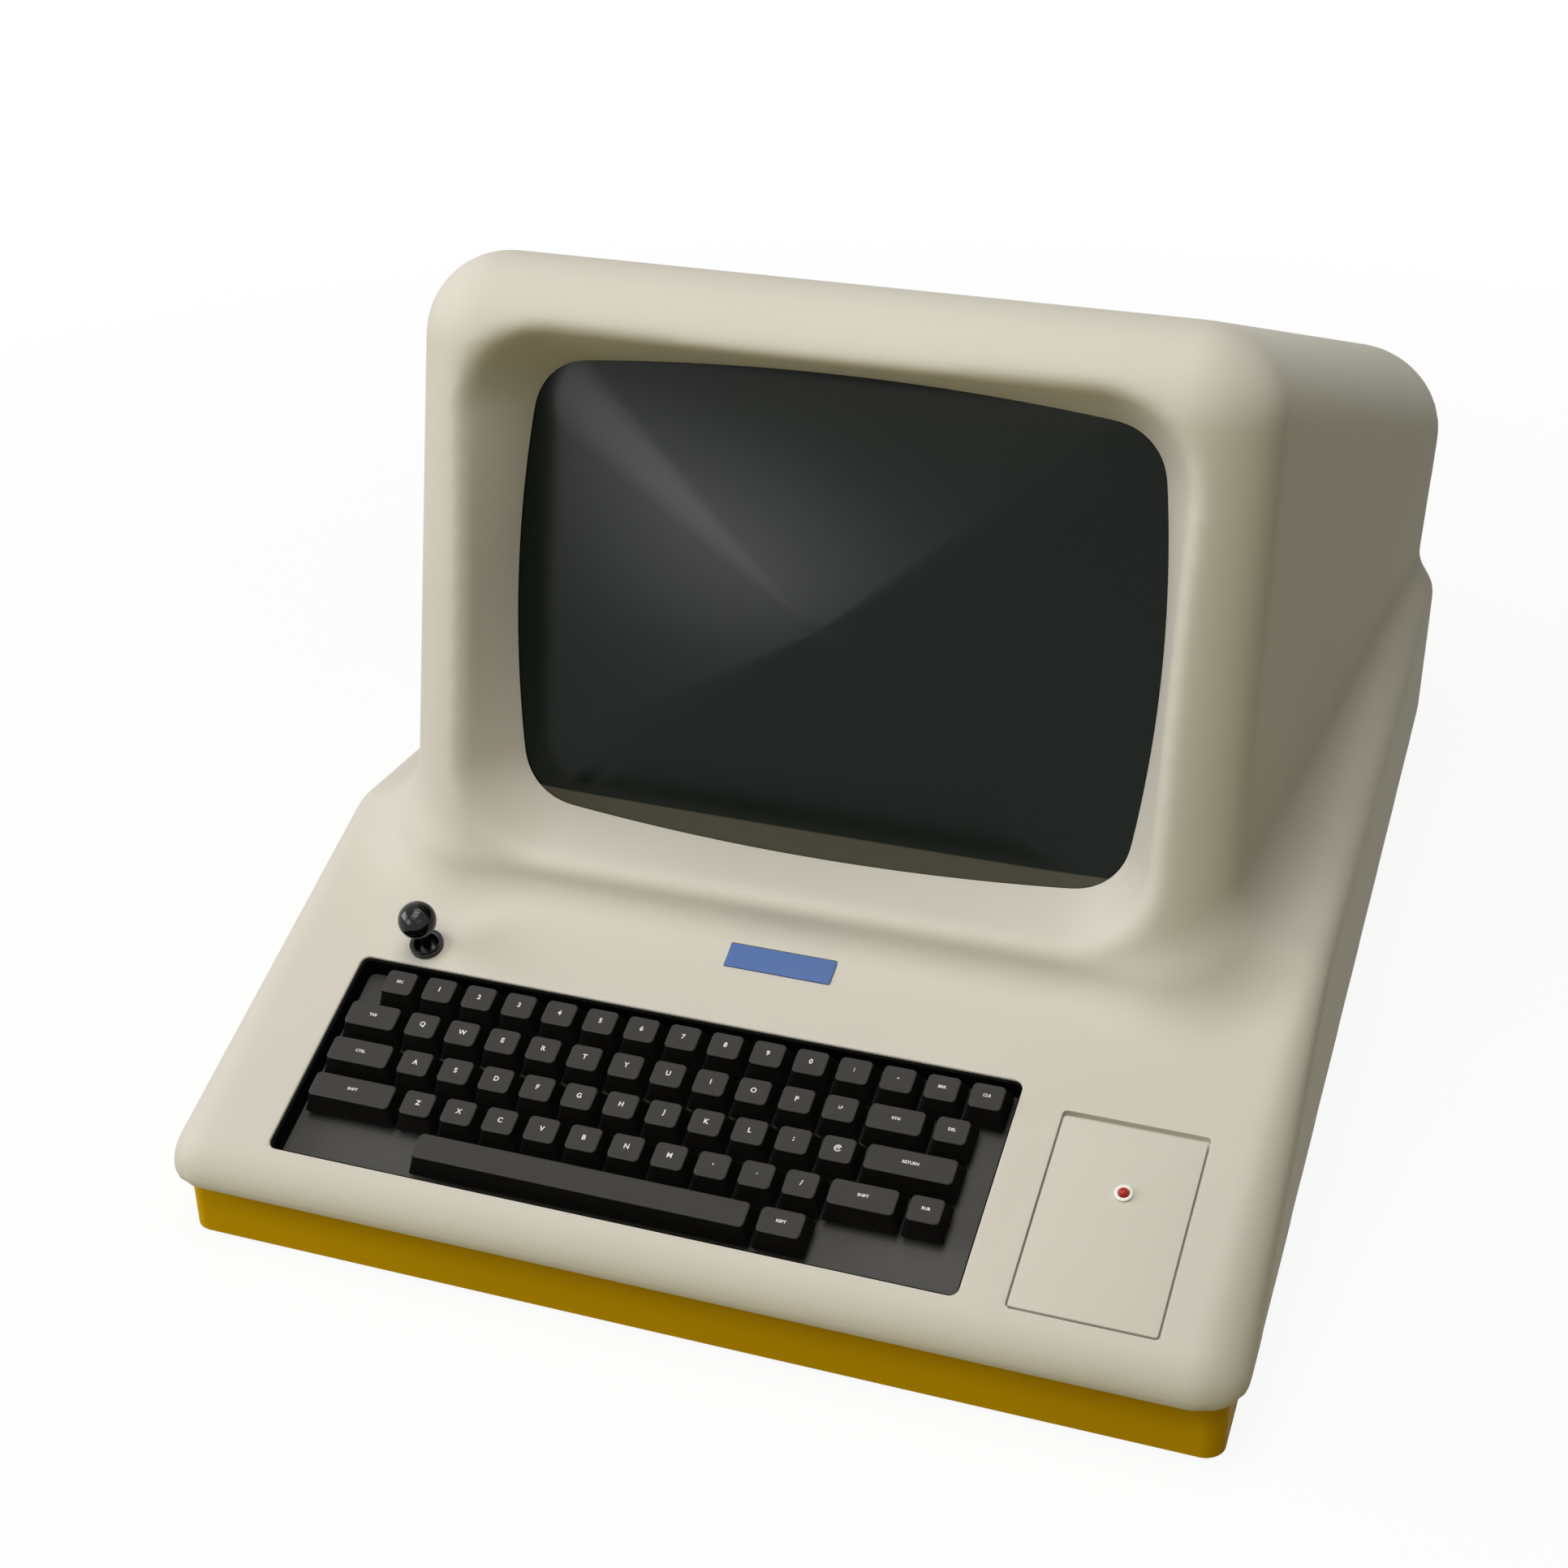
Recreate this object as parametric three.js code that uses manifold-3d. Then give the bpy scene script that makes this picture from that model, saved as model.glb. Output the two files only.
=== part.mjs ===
// A one-piece home computer of the late 1970s: a moulded upper case with the
// screen head, keyboard deck and option panel, standing on a shallow base tray.
// Millimetres. X runs to the right, Y to the back, Z up; the desk is Z = 0 and
// the origin lies under the middle of the machine.
import * as THREE from 'three';
import { ConvexGeometry } from 'three/addons/geometries/ConvexGeometry.js';
import { mergeVertices } from 'three/addons/utils/BufferGeometryUtils.js';
import Module from 'manifold-3d';

const wasm = await Module();
wasm.setup();

// Clearances and overruns
const seatGap = 0.3;
const slideGap = 0.4;
const overrun = 5;
const weldTolerance = 0.0005;

// Body of the upper case
const bodyFrontWidth = 468.4;
const bodyRearWidth = 424;
const bodyDepth = 629;
const footHeight = 2;
const baseBandHeight = 30.4;
const deckFrontHeight = 50.1;
const deckRun = 188.9;
const shoulderFrontHeight = 127.3;
const shoulderRearHeight = 122.8;
const noseRadius = 21.3;
const lowerCornerRadius = 27.8;
const lowerFrontInset = 4.4;
const lowerSideInset = 1.2;
const shoulderEdgeRadius = 10.2;
const rearEdgeRadius = 14;
const lowerEdgeRadius = 3;
const shellWall = 3.5;
const seatFlangeWidth = 22;
const seatFlangeThickness = 3;

// Head of the upper case
const headFrontWidth = 373.6;
const headRearWidth = 411;
const headSillWidth = 377.4;
const headRearFootWidth = 403;
const headTopHeight = 382.3;
const headRearHeight = 245.3;
const headRearSetback = 3;
const headCornerRadius = 36.7;
const headRearCornerRadius = 46.8;
const headRearEdgeRadius = 6;
const faceFootSetback = 118.2;
const faceLeanRun = 75.4;
const sillFromNose = 167.5;
const sillHeight = 20;
const sillRadius = 8;

// Flare where the head grows out of the body
const flareFrontRadius = 14;
const flareSideRadius = 24;
const flareRearRadius = 6;
const flareRoot = 8;
const flareBite = 0.15;

// Screen opening and its sunk surround
const screenHalfWidth = 145.5;
const screenHalfHeight = 106.6;
const screenSideBow = 5.5;
const screenTopBow = 5.9;
const screenCornerRadius = 26;
const screenFromDesk = 251.5;
const surroundDepth = 40;
const surroundHalfWidth = 154;
const surroundHalfHeight = 114.5;
const surroundCornerRadius = 42;
const surroundLipRadius = 10;
const surroundWall = 3;

// Deck layout, measured up the slope from the nose and across from the middle
const wellCentreX = -32.5;
const wellWidth = 303;
const wellFrontEdge = 12.5;
const wellHeight = 102.7;
const wellCornerRadius = 4;
const plateDepth = 10.5;
const keyPitch = 19.05;
const topRowFromNose = 102.55;
const escFromMiddle = 160.1;
const keyTopHeight = 3;
const keyTravel = 4;

// Rear panel, its sockets, fuse, switch and control
const rearPanelThickness = 2;
const rearPanelFlange = 4;
const inletX = -118;
const inletWidth = 27;
const inletHeight = 20;
const inletDepth = 16;
const inletWall = 2;
const pinWidth = 4;
const pinThickness = 2;
const pinLength = 11;
const pinSpread = 7;
const fuseX = -86;
const fuseRadius = 7;
const fuseReach = 9;
const rockerX = -58;
const rockerWidth = 12;
const rockerReach = 10;
const rockerPivotDepth = 4.5;
const rockerDish = 1.6;
const rockerTurn = THREE.MathUtils.degToRad(14);
const rockerWall = 2;
const rockerPinRadius = 1.5;
const knobX = -24;
const knobRadius = 9;
const knobReach = 12;
const knobFlutes = 12;
const knobFluteDepth = 0.7;
const knobPointerRise = 0.7;
const knobShaftRadius = 3;
const knobShaftDepth = 10;
const controlRadius = 10;
const controlDepth = 13;
const socketXs = [38, 108];
const socketWidth = 40;
const socketHeight = 10.5;
const socketReach = 6;
const socketWall = 0.9;
const socketCore = 5.5;
const socketFlangeWidth = 53;
const socketFlangeHeight = 13;

// Helpers that turn three.js geometry into solids and back
function solid(geometry) {
  const bare = geometry.clone();
  bare.deleteAttribute('normal');
  bare.deleteAttribute('uv');
  const welded = mergeVertices(bare, weldTolerance);
  const index = welded.index.array;
  const kept = [];
  for (let i = 0; i < index.length; i += 3) {
    const [a, b, c] = [index[i], index[i + 1], index[i + 2]];
    if (a !== b && b !== c && c !== a) kept.push(a, b, c);
  }
  const vertProperties = new Float32Array(welded.attributes.position.array);
  return new wasm.Manifold(new wasm.Mesh({ numProp: 3, vertProperties, triVerts: new Uint32Array(kept) }));
}

function geometryOf(manifold) {
  const mesh = manifold.getMesh();
  const geometry = new THREE.BufferGeometry();
  geometry.setAttribute('position', new THREE.BufferAttribute(new Float32Array(mesh.vertProperties), 3));
  geometry.setIndex(new THREE.BufferAttribute(new Uint32Array(mesh.triVerts), 1));
  geometry.computeVertexNormals();
  return geometry;
}

function union(solids) {
  return solids.reduce((sum, next) => sum.add(next));
}

function placed(geometry, matrix) {
  return solid(geometry.clone().applyMatrix4(matrix));
}

function shifted(geometry, x, y, z) {
  return solid(geometry.clone().translate(x, y, z));
}

function material(color, roughness, metalness = 0) {
  return new THREE.MeshStandardMaterial({ color, roughness, metalness });
}

function box(x0, x1, y0, y1, z0, z1) {
  const geometry = new THREE.BoxGeometry(x1 - x0, y1 - y0, z1 - z0);
  return shifted(geometry, (x0 + x1) / 2, (y0 + y1) / 2, (z0 + z1) / 2);
}

// Upright cylinder from z0 to z1
function post(x, y, z0, z1, radius, sides = 16) {
  const geometry = new THREE.CylinderGeometry(radius, radius, z1 - z0, sides);
  geometry.rotateX(Math.PI / 2);
  return shifted(geometry, x, y, (z0 + z1) / 2);
}

function roundedRect(width, height, radius) {
  const [w, h] = [width / 2, height / 2];
  const shape = new THREE.Shape();
  shape.moveTo(-w + radius, -h);
  shape.lineTo(w - radius, -h);
  shape.absarc(w - radius, -h + radius, radius, -Math.PI / 2, 0);
  shape.absarc(w - radius, h - radius, radius, 0, Math.PI / 2);
  shape.absarc(-w + radius, h - radius, radius, Math.PI / 2, Math.PI);
  shape.absarc(-w + radius, -h + radius, radius, Math.PI, Math.PI * 1.5);
  return shape;
}

// Block with rounded upright corners, centred on x, y and standing from z0 to z1
function roundedBlock(x, y, z0, z1, width, height, radius, segments = 3) {
  const options = { depth: z1 - z0, bevelEnabled: false, curveSegments: segments };
  return shifted(new THREE.ExtrudeGeometry(roundedRect(width, height, radius), options), x, y, z0);
}

// Solid of revolution about the local Z axis from [radius, height] pairs
function turned(profile, segments = 24) {
  const points = profile.map(([r, z]) => new THREE.Vector2(r, z));
  const geometry = new THREE.LatheGeometry(points, segments);
  geometry.rotateX(Math.PI / 2);
  return solid(geometry);
}

// Closed skin over rings of equal point count, capped at both ends or joined in a loop
function loft(rings, looped = false) {
  const count = rings[0].length;
  const points = rings.flat();
  const index = [];
  const spans = looped ? rings.length : rings.length - 1;
  for (let r = 0; r < spans; r += 1) {
    const here = r * count;
    const next = ((r + 1) % rings.length) * count;
    for (let k = 0; k < count; k += 1) {
      const l = (k + 1) % count;
      index.push(here + k, here + l, next + l, here + k, next + l, next + k);
    }
  }
  if (!looped) {
    for (const [start, flip] of [[0, true], [(rings.length - 1) * count, false]]) {
      const middle = new THREE.Vector3();
      for (let k = 0; k < count; k += 1) middle.addScaledVector(points[start + k], 1 / count);
      points.push(middle);
      for (let k = 0; k < count; k += 1) {
        const l = (k + 1) % count;
        if (flip) index.push(start + l, start + k, points.length - 1);
        else index.push(start + k, start + l, points.length - 1);
      }
    }
  }
  const geometry = new THREE.BufferGeometry().setFromPoints(points);
  geometry.setIndex(index);
  const result = solid(geometry);
  return result.volume() < 0 ? solid(flipped(geometry)) : result;
}

function flipped(geometry) {
  const index = Array.from(geometry.index.array);
  for (let i = 0; i < index.length; i += 3) [index[i], index[i + 1]] = [index[i + 1], index[i]];
  geometry.setIndex(index);
  return geometry;
}

function ballPoints(x, y, z, radius, segments = 20) {
  const place = new THREE.SphereGeometry(radius, segments, segments / 2).attributes.position;
  const points = [];
  for (let i = 0; i < place.count; i += 1) {
    points.push(new THREE.Vector3().fromBufferAttribute(place, i).add(new THREE.Vector3(x, y, z)));
  }
  return points;
}

// Level ring of points
function circlePoints(x, y, z, radius, segments = 24) {
  const points = [];
  for (let i = 0; i < segments; i += 1) {
    const turn = (2 * Math.PI * i) / segments;
    points.push(new THREE.Vector3(x + radius * Math.cos(turn), y + radius * Math.sin(turn), z));
  }
  return points;
}

function hull(points) {
  return solid(new ConvexGeometry(points));
}

// Frames of reference; the origin lies midway between the nose and the tip of the rear control
const rearFaceSetback = shellWall - rearPanelThickness - seatGap;
const noseY = -(bodyDepth + knobReach + knobPointerRise - rearFaceSetback) / 2;
const rearY = noseY + bodyDepth;
const partingHeight = footHeight + baseBandHeight;
const deckAngle = Math.atan2(shoulderFrontHeight - deckFrontHeight, deckRun);
const bendY = noseY + deckRun;
const faceLean = Math.atan2(faceLeanRun, headTopHeight);
const faceFootY = noseY + faceFootSetback;

function deckMatrix() {
  const turn = new THREE.Matrix4().makeRotationX(deckAngle);
  return turn.setPosition(0, noseY, deckFrontHeight);
}

function faceMatrix() {
  const turn = new THREE.Matrix4().makeRotationX(-faceLean);
  return turn.setPosition(0, faceFootY, 0);
}

function onDeck(x, up, out) {
  return new THREE.Vector3(x, up, out).applyMatrix4(deckMatrix());
}

function bodyHalfWidth(y) {
  return THREE.MathUtils.mapLinear(y, noseY, rearY, bodyFrontWidth / 2, bodyRearWidth / 2);
}

function deckHeight(y) {
  return deckFrontHeight + (y - noseY) * Math.tan(deckAngle);
}

// Plain convex mass of the body, drawn in by inset for the inside of the shell
function bodyMass(inset, bottom) {
  const points = [];
  const frontY = noseY + noseRadius;
  const frontZ = deckHeight(frontY) - noseRadius / Math.cos(deckAngle);
  const roundY = bendY + shoulderEdgeRadius * Math.tan(deckAngle / 2);
  const backY = rearY - rearEdgeRadius;
  const lowerY = noseY + lowerFrontInset + lowerCornerRadius;
  for (const side of [-1, 1]) {
    const frontX = side * (bodyHalfWidth(frontY) - noseRadius);
    points.push(...ballPoints(frontX, frontY, frontZ, noseRadius - inset));
    const roundX = side * (bodyHalfWidth(roundY) - shoulderEdgeRadius);
    const roundZ = shoulderFrontHeight - shoulderEdgeRadius;
    points.push(...ballPoints(roundX, roundY, roundZ, shoulderEdgeRadius - inset));
    const backX = side * (bodyHalfWidth(backY) - rearEdgeRadius);
    points.push(...ballPoints(backX, backY, shoulderRearHeight - rearEdgeRadius, rearEdgeRadius - inset));
    // Rounded lower edge, or a plain open bottom for the inside
    const lowerX = side * (bodyHalfWidth(lowerY) - lowerSideInset - lowerCornerRadius);
    const steps = 3;
    for (let i = 0; i <= steps; i += 1) {
      const turn = (i / steps) * (Math.PI / 2);
      const shrink = inset > 0 ? inset : lowerEdgeRadius * (1 - Math.cos(turn));
      const level = inset > 0 ? bottom : bottom + lowerEdgeRadius * (1 - Math.sin(turn));
      points.push(...circlePoints(lowerX, lowerY, level, lowerCornerRadius - shrink));
      points.push(...circlePoints(backX - side * lowerSideInset, backY, level, rearEdgeRadius - shrink, 16));
    }
  }
  return hull(points.map((p) => new THREE.Vector3(p.x, p.y, Math.max(p.z, bottom))));
}

// Plain convex mass of the head
function headMass(inset) {
  const points = [];
  const crownZ = headTopHeight - headCornerRadius;
  const crownY = faceFootY + crownZ * Math.tan(faceLean) + headCornerRadius / Math.cos(faceLean);
  const ring = headCornerRadius - sillRadius;
  const rearRing = headRearCornerRadius - headRearEdgeRadius;
  const backY = rearY - headRearSetback - headRearEdgeRadius;
  for (const side of [-1, 1]) {
    const frontX = side * (headFrontWidth / 2 - headCornerRadius);
    const sillX = side * (headSillWidth / 2 - headCornerRadius);
    const backX = side * (headRearWidth / 2 - headRearCornerRadius);
    points.push(...ballPoints(frontX, crownY, crownZ, headCornerRadius - inset, 24));
    const turns = 24;
    for (let i = 0; i < turns; i += 1) {
      const turn = (2 * Math.PI * i) / turns;
      const [c, s] = [Math.cos(turn), Math.sin(turn)];
      // Sill ring, level with the deck
      const x = sillX + ring * c;
      const up = sillFromNose + headCornerRadius + ring * s;
      for (let j = 0; j <= 4; j += 1) {
        const tip = (j * Math.PI) / 8;
        const reach = (sillRadius - inset) * Math.cos(tip);
        const out = sillHeight - sillRadius + (sillRadius - inset) * Math.sin(tip);
        points.push(onDeck(x + reach * c, up + reach * s, out));
      }
      const foot = headCornerRadius - inset;
      points.push(onDeck(sillX + foot * c, sillFromNose + headCornerRadius + foot * s, -shellWall * 2));
      // Back ring, facing the rear
      for (let j = 0; j <= 3; j += 1) {
        const tip = (j * Math.PI) / 6;
        const reach = rearRing + (headRearEdgeRadius - inset) * Math.cos(tip);
        const y = backY + (headRearEdgeRadius - inset) * Math.sin(tip);
        const z = headRearHeight - headRearCornerRadius + reach * s;
        points.push(new THREE.Vector3(backX + reach * c, y, z));
      }
    }
    const footX = side * (headRearFootWidth / 2 - headRearEdgeRadius);
    const footZ = shoulderRearHeight - headRearEdgeRadius * 2;
    points.push(...ballPoints(footX, backY, footZ, headRearEdgeRadius - inset, 12));
  }
  return hull(points);
}

// Concave fillet that runs round the foot of the head, one short profile per station
function headFlare() {
  const stations = [];
  const deckUp = new THREE.Vector3(0, -Math.sin(deckAngle), Math.cos(deckAngle));
  const sideStart = onDeck(0, sillFromNose + headCornerRadius, 0).y;
  const endY = rearY - headRearSetback - headRearEdgeRadius;
  const half = [];
  const sideSteps = 8;
  const cornerSteps = 6;
  for (let i = 0; i <= sideSteps; i += 1) {
    const t = i / sideSteps;
    const y = THREE.MathUtils.lerp(endY, sideStart, t);
    const x = THREE.MathUtils.lerp(headRearFootWidth / 2, headSillWidth / 2, t);
    const level = Math.min(deckHeight(y), shoulderAt(y));
    const lean = THREE.MathUtils.smoothstep(bendY - y, -flareSideRadius, flareSideRadius);
    const up = new THREE.Vector3(0, -Math.sin(deckAngle * lean), Math.cos(deckAngle * lean));
    const radius = THREE.MathUtils.lerp(flareRearRadius, flareSideRadius, t);
    half.push({ at: new THREE.Vector3(x, y, level), out: new THREE.Vector3(1, 0, 0), up, radius });
  }
  const alongDeck = new THREE.Vector3(0, Math.cos(deckAngle), Math.sin(deckAngle));
  for (let i = 1; i <= cornerSteps; i += 1) {
    const turn = (i / cornerSteps) * (Math.PI / 2);
    const x = headSillWidth / 2 - headCornerRadius + headCornerRadius * Math.cos(turn);
    const up = sillFromNose + headCornerRadius - headCornerRadius * Math.sin(turn);
    const out = new THREE.Vector3(Math.cos(turn), 0, 0).addScaledVector(alongDeck, -Math.sin(turn));
    const radius = THREE.MathUtils.lerp(flareSideRadius, flareFrontRadius, i / cornerSteps);
    half.push({ at: onDeck(x, up, 0), out, up: deckUp, radius });
  }
  stations.push(...half);
  for (const s of [...half].reverse()) {
    const mirror = (v) => new THREE.Vector3(-v.x, v.y, v.z);
    stations.push({ at: mirror(s.at), out: mirror(s.out), up: s.up, radius: s.radius });
  }
  return loft(stations.map(flareProfile));
}

function shoulderAt(y) {
  return THREE.MathUtils.mapLinear(y, bendY, rearY, shoulderFrontHeight, shoulderRearHeight);
}

function flareProfile({ at, out, up, radius }) {
  const profile = [];
  const base = at.clone().addScaledVector(up, -flareBite).addScaledVector(out, -flareBite);
  const centre = base.clone().addScaledVector(out, radius).addScaledVector(up, radius);
  const steps = 4;
  for (let i = 0; i <= steps; i += 1) {
    const turn = (i / steps) * (Math.PI / 2);
    const p = centre.clone();
    p.addScaledVector(out, -radius * Math.cos(turn)).addScaledVector(up, -radius * Math.sin(turn));
    profile.push(p);
  }
  profile.push(base.clone().addScaledVector(out, radius).addScaledVector(up, -flareRoot / 2));
  profile.push(base.clone().addScaledVector(out, -flareRoot).addScaledVector(up, -flareRoot / 2));
  profile.push(base.clone().addScaledVector(out, -flareRoot).addScaledVector(up, radius));
  return profile;
}

// Points per quarter of the screen outlines
const sideSteps = 3;
const cornerSteps = 4;

// Outline of the tube face in its own plane: bowed sides and round corners
function screenOutline(grow) {
  const sideTurn = Math.atan2(2 * screenSideBow, screenHalfHeight);
  const topTurn = Math.atan2(2 * screenTopBow, screenHalfWidth);
  const radius = screenCornerRadius + grow;
  const centreX = screenHalfWidth - screenSideBow - screenCornerRadius * Math.cos(sideTurn);
  const centreZ = screenHalfHeight - screenTopBow - screenCornerRadius * Math.cos(topTurn);
  const quarter = [];
  const endZ = centreZ + radius * Math.sin(sideTurn);
  const endX = centreX + radius * Math.sin(topTurn);
  for (let i = 0; i < sideSteps; i += 1) {
    const share = i / sideSteps;
    quarter.push([screenHalfWidth + grow - screenSideBow * share * share, endZ * share]);
  }
  for (let i = 0; i <= cornerSteps; i += 1) {
    const turn = THREE.MathUtils.lerp(sideTurn, Math.PI / 2 - topTurn, i / cornerSteps);
    quarter.push([centreX + radius * Math.cos(turn), centreZ + radius * Math.sin(turn)]);
  }
  for (let i = sideSteps - 1; i > 0; i -= 1) {
    const share = i / sideSteps;
    quarter.push([endX * share, screenHalfHeight + grow - screenTopBow * share * share]);
  }
  return aroundFourQuarters(quarter, screenHalfHeight + grow);
}

// Rounded rectangle with as many points, in the same order, as the screen outline
function surroundOutline(halfWidth, halfHeight, radius) {
  const quarter = [];
  const [centreX, centreZ] = [halfWidth - radius, halfHeight - radius];
  for (let i = 0; i < sideSteps; i += 1) quarter.push([halfWidth, (centreZ * i) / sideSteps]);
  for (let i = 0; i <= cornerSteps; i += 1) {
    const turn = (i / cornerSteps) * (Math.PI / 2);
    quarter.push([centreX + radius * Math.cos(turn), centreZ + radius * Math.sin(turn)]);
  }
  for (let i = sideSteps - 1; i > 0; i -= 1) quarter.push([(centreX * i) / sideSteps, halfHeight]);
  return aroundFourQuarters(quarter, halfHeight);
}

function aroundFourQuarters(quarter, top) {
  const outline = [];
  outline.push(...quarter, [0, top]);
  outline.push(...[...quarter].reverse().map(([x, z]) => [-x, z]));
  outline.push(...quarter.slice(1).map(([x, z]) => [-x, -z]), [0, -top]);
  outline.push(...[...quarter.slice(1)].reverse().map(([x, z]) => [x, -z]));
  return outline;
}

// Ring of an outline at a depth behind the face of the head
function faceRing(outline, depth) {
  return outline.map(([x, z]) => new THREE.Vector3(x, depth, screenFromDesk + z).applyMatrix4(faceMatrix()));
}

// Surround outline, widened by open, at a depth behind the face
function surroundRing(open, depth) {
  const [halfWidth, halfHeight] = [surroundHalfWidth + open, surroundHalfHeight + open];
  return faceRing(surroundOutline(halfWidth, halfHeight, surroundCornerRadius + open), depth);
}

// Sunk surround: the hollow that leads from the rounded lip to the tube face
function surroundHollow() {
  const rings = [];
  const lipSteps = 3;
  rings.push(surroundRing(surroundLipRadius * 2, -surroundLipRadius * 2));
  for (let i = 0; i <= lipSteps; i += 1) {
    const turn = (i / lipSteps) * (Math.PI / 2);
    const [open, depth] = [1 - Math.sin(turn), 1 - Math.cos(turn)];
    rings.push(surroundRing(surroundLipRadius * open, surroundLipRadius * depth));
  }
  rings.push(faceRing(screenOutline(0), surroundDepth));
  rings.push(faceRing(screenOutline(0), surroundDepth + overrun));
  return loft(rings);
}

// Sleeve of material that the hollow is cut out of
function surroundSleeve() {
  return loft([
    surroundRing(surroundLipRadius + surroundWall, 0),
    surroundRing(surroundWall, surroundLipRadius),
    faceRing(screenOutline(surroundWall), surroundDepth),
  ]);
}

// Upper case
const serviceHalfWidth = 150;
const serviceBottom = 46;
const serviceTop = 104;
const slotWidth = 230;
const slotHeight = 5;
const slotPitch = 12;
const slotCount = 7;
const slotLowest = 139;

function slabUnderDeck(x, up, width, height, radius, top, bottom) {
  const block = roundedBlock(x, up, bottom, top, width, height, radius);
  return block.transform(deckMatrix().toArray());
}

function upperCase() {
  const outer = union([bodyMass(0, partingHeight), headMass(0), headFlare()]);
  const inside = bodyMass(shellWall, partingHeight - overrun).add(headMass(shellWall));
  const flangeTop = partingHeight + seatFlangeThickness;
  const trayHole = baseOutline(seatFlangeWidth, partingHeight - overrun, flangeTop + overrun);
  const flange = box(-bodyFrontWidth, bodyFrontWidth, -bodyDepth, bodyDepth,
    partingHeight - overrun * 2, flangeTop);
  const cavity = inside.subtract(flange.subtract(trayHole));
  let shell = outer.subtract(cavity);
  const [wellAcross, wellUp] = [panelWidth + panelWellRim * 2, panelHeight + panelWellRim * 2];
  const panelWell = slabUnderDeck(panelX, panelUp, wellAcross, wellUp, panelCornerRadius + panelWellRim,
    -shellWall / 2, -panelWellDepth);
  shell = shell.add(surroundSleeve().intersect(outer)).add(panelWell);
  shell = shell.subtract(surroundHollow());
  const cuts = [];
  cuts.push(slabUnderDeck(wellCentreX, wellFrontEdge + wellHeight / 2, wellWidth, wellHeight,
    wellCornerRadius, overrun, -shellWall - overrun));
  const pocketWidth = panelWidth + panelGroove * 2;
  const pocketHeight = panelHeight + panelGroove + panelTopGroove;
  cuts.push(slabUnderDeck(panelX, panelUp + (panelTopGroove - panelGroove) / 2, pocketWidth, pocketHeight,
    panelCornerRadius + panelGroove, overrun, -panelThickness - seatGap));
  cuts.push(slabUnderDeck(panelX, panelUp, panelWidth - panelLedge * 2, panelHeight - panelLedge * 2,
    panelCornerRadius, overrun, -panelWellDepth - overrun));
  const stickBore = post(stickX, stickUp, -shellWall - overrun, overrun, collarNeckRadius + seatGap);
  cuts.push(stickBore.transform(deckMatrix().toArray()));
  cuts.push(slabUnderDeck(plateX, plateUp, plateWidth + slideGap * 2, plateHeight + slideGap * 2,
    plateCornerRadius, overrun, -plateSink));
  const [cutFrom, cutTo] = [rearY - rearEdgeRadius * 2, rearY + overrun];
  cuts.push(box(-serviceHalfWidth, serviceHalfWidth, cutFrom, cutTo, serviceBottom, serviceTop));
  for (let i = 0; i < slotCount; i += 1) {
    const z = slotLowest + i * slotPitch;
    cuts.push(box(-slotWidth / 2, slotWidth / 2, cutFrom, cutTo, z, z + slotHeight));
  }
  return shell.subtract(union(cuts));
}

// Base tray
const baseFrontInset = 10.7;
const baseSideInset = 6.7;
const baseCornerRadius = 9.2;
const baseNarrowing = 0.5;
const trayWall = 3.5;
const footRadius = 13;
const footInset = 52;
const boardPostRadius = 5;
const boardPostHeight = 9;

// Plan outline of the base, drawn in by inset, as an upright block
function baseOutline(inset, z0, z1, draft = 0) {
  const points = [];
  for (const [z, shrink] of [[z0, inset + draft], [z1, inset]]) {
    const frontY = noseY + baseFrontInset + baseCornerRadius;
    const backY = rearY - baseFrontInset - baseCornerRadius;
    const radius = Math.max(baseCornerRadius - shrink, baseNarrowing);
    const spare = Math.max(shrink - baseCornerRadius, 0);
    for (const side of [-1, 1]) {
      for (const y of [frontY, backY]) {
        const x = side * (bodyHalfWidth(y) - baseSideInset - baseCornerRadius - spare);
        points.push(...circlePoints(x, y - Math.sign(y) * spare, z, radius, 16));
      }
    }
  }
  return hull(points);
}

function baseTray() {
  const top = partingHeight - seatGap;
  const outer = baseOutline(0, footHeight, top, baseNarrowing);
  const inner = baseOutline(trayWall, footHeight + trayWall, top + overrun, baseNarrowing);
  const pieces = [outer.subtract(inner)];
  for (const side of [-1, 1]) {
    for (const y of [noseY + baseFrontInset + footInset, rearY - baseFrontInset - footInset]) {
      const x = side * (bodyHalfWidth(y) - baseSideInset - footInset);
      pieces.push(post(x, y, 0, footHeight + trayWall / 2, footRadius));
    }
    for (const y of [boardFrontY + boardPostInset, boardBackY - boardPostInset]) {
      const x = side * (boardHalfWidth - boardPostInset);
      pieces.push(post(x, y, footHeight + trayWall / 2, footHeight + boardPostHeight, boardPostRadius, 10));
    }
  }
  return union(pieces);
}

// Logic board on its posts
const boardHalfWidth = 175;
const boardFromNose = 59.5;
const boardDepth = 295;
const boardThickness = 1.6;
const boardPostInset = 14;
const chipRows = 4;
const chipColumns = 7;
const chipLength = 19;
const chipWidth = 7.5;
const chipHeight = 4;
const chipPitchX = 38;
const chipPitchY = 34;
const boardLift = footHeight + boardPostHeight + seatGap;
const boardFrontY = noseY + boardFromNose;
const boardBackY = boardFrontY + boardDepth;

function logicBoard() {
  const top = boardLift + boardThickness;
  const pieces = [box(-boardHalfWidth, boardHalfWidth, boardFrontY, boardBackY, boardLift, top)];
  for (let row = 0; row < chipRows; row += 1) {
    for (let column = 0; column < chipColumns; column += 1) {
      const x = (column - (chipColumns - 1) / 2) * chipPitchX;
      const y = boardFrontY + boardPostInset * 2 + (row + 1) * chipPitchY;
      pieces.push(box(x - chipLength / 2, x + chipLength / 2, y - chipWidth / 2, y + chipWidth / 2,
        top - boardThickness / 2, top + chipHeight));
    }
  }
  return union(pieces);
}

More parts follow.
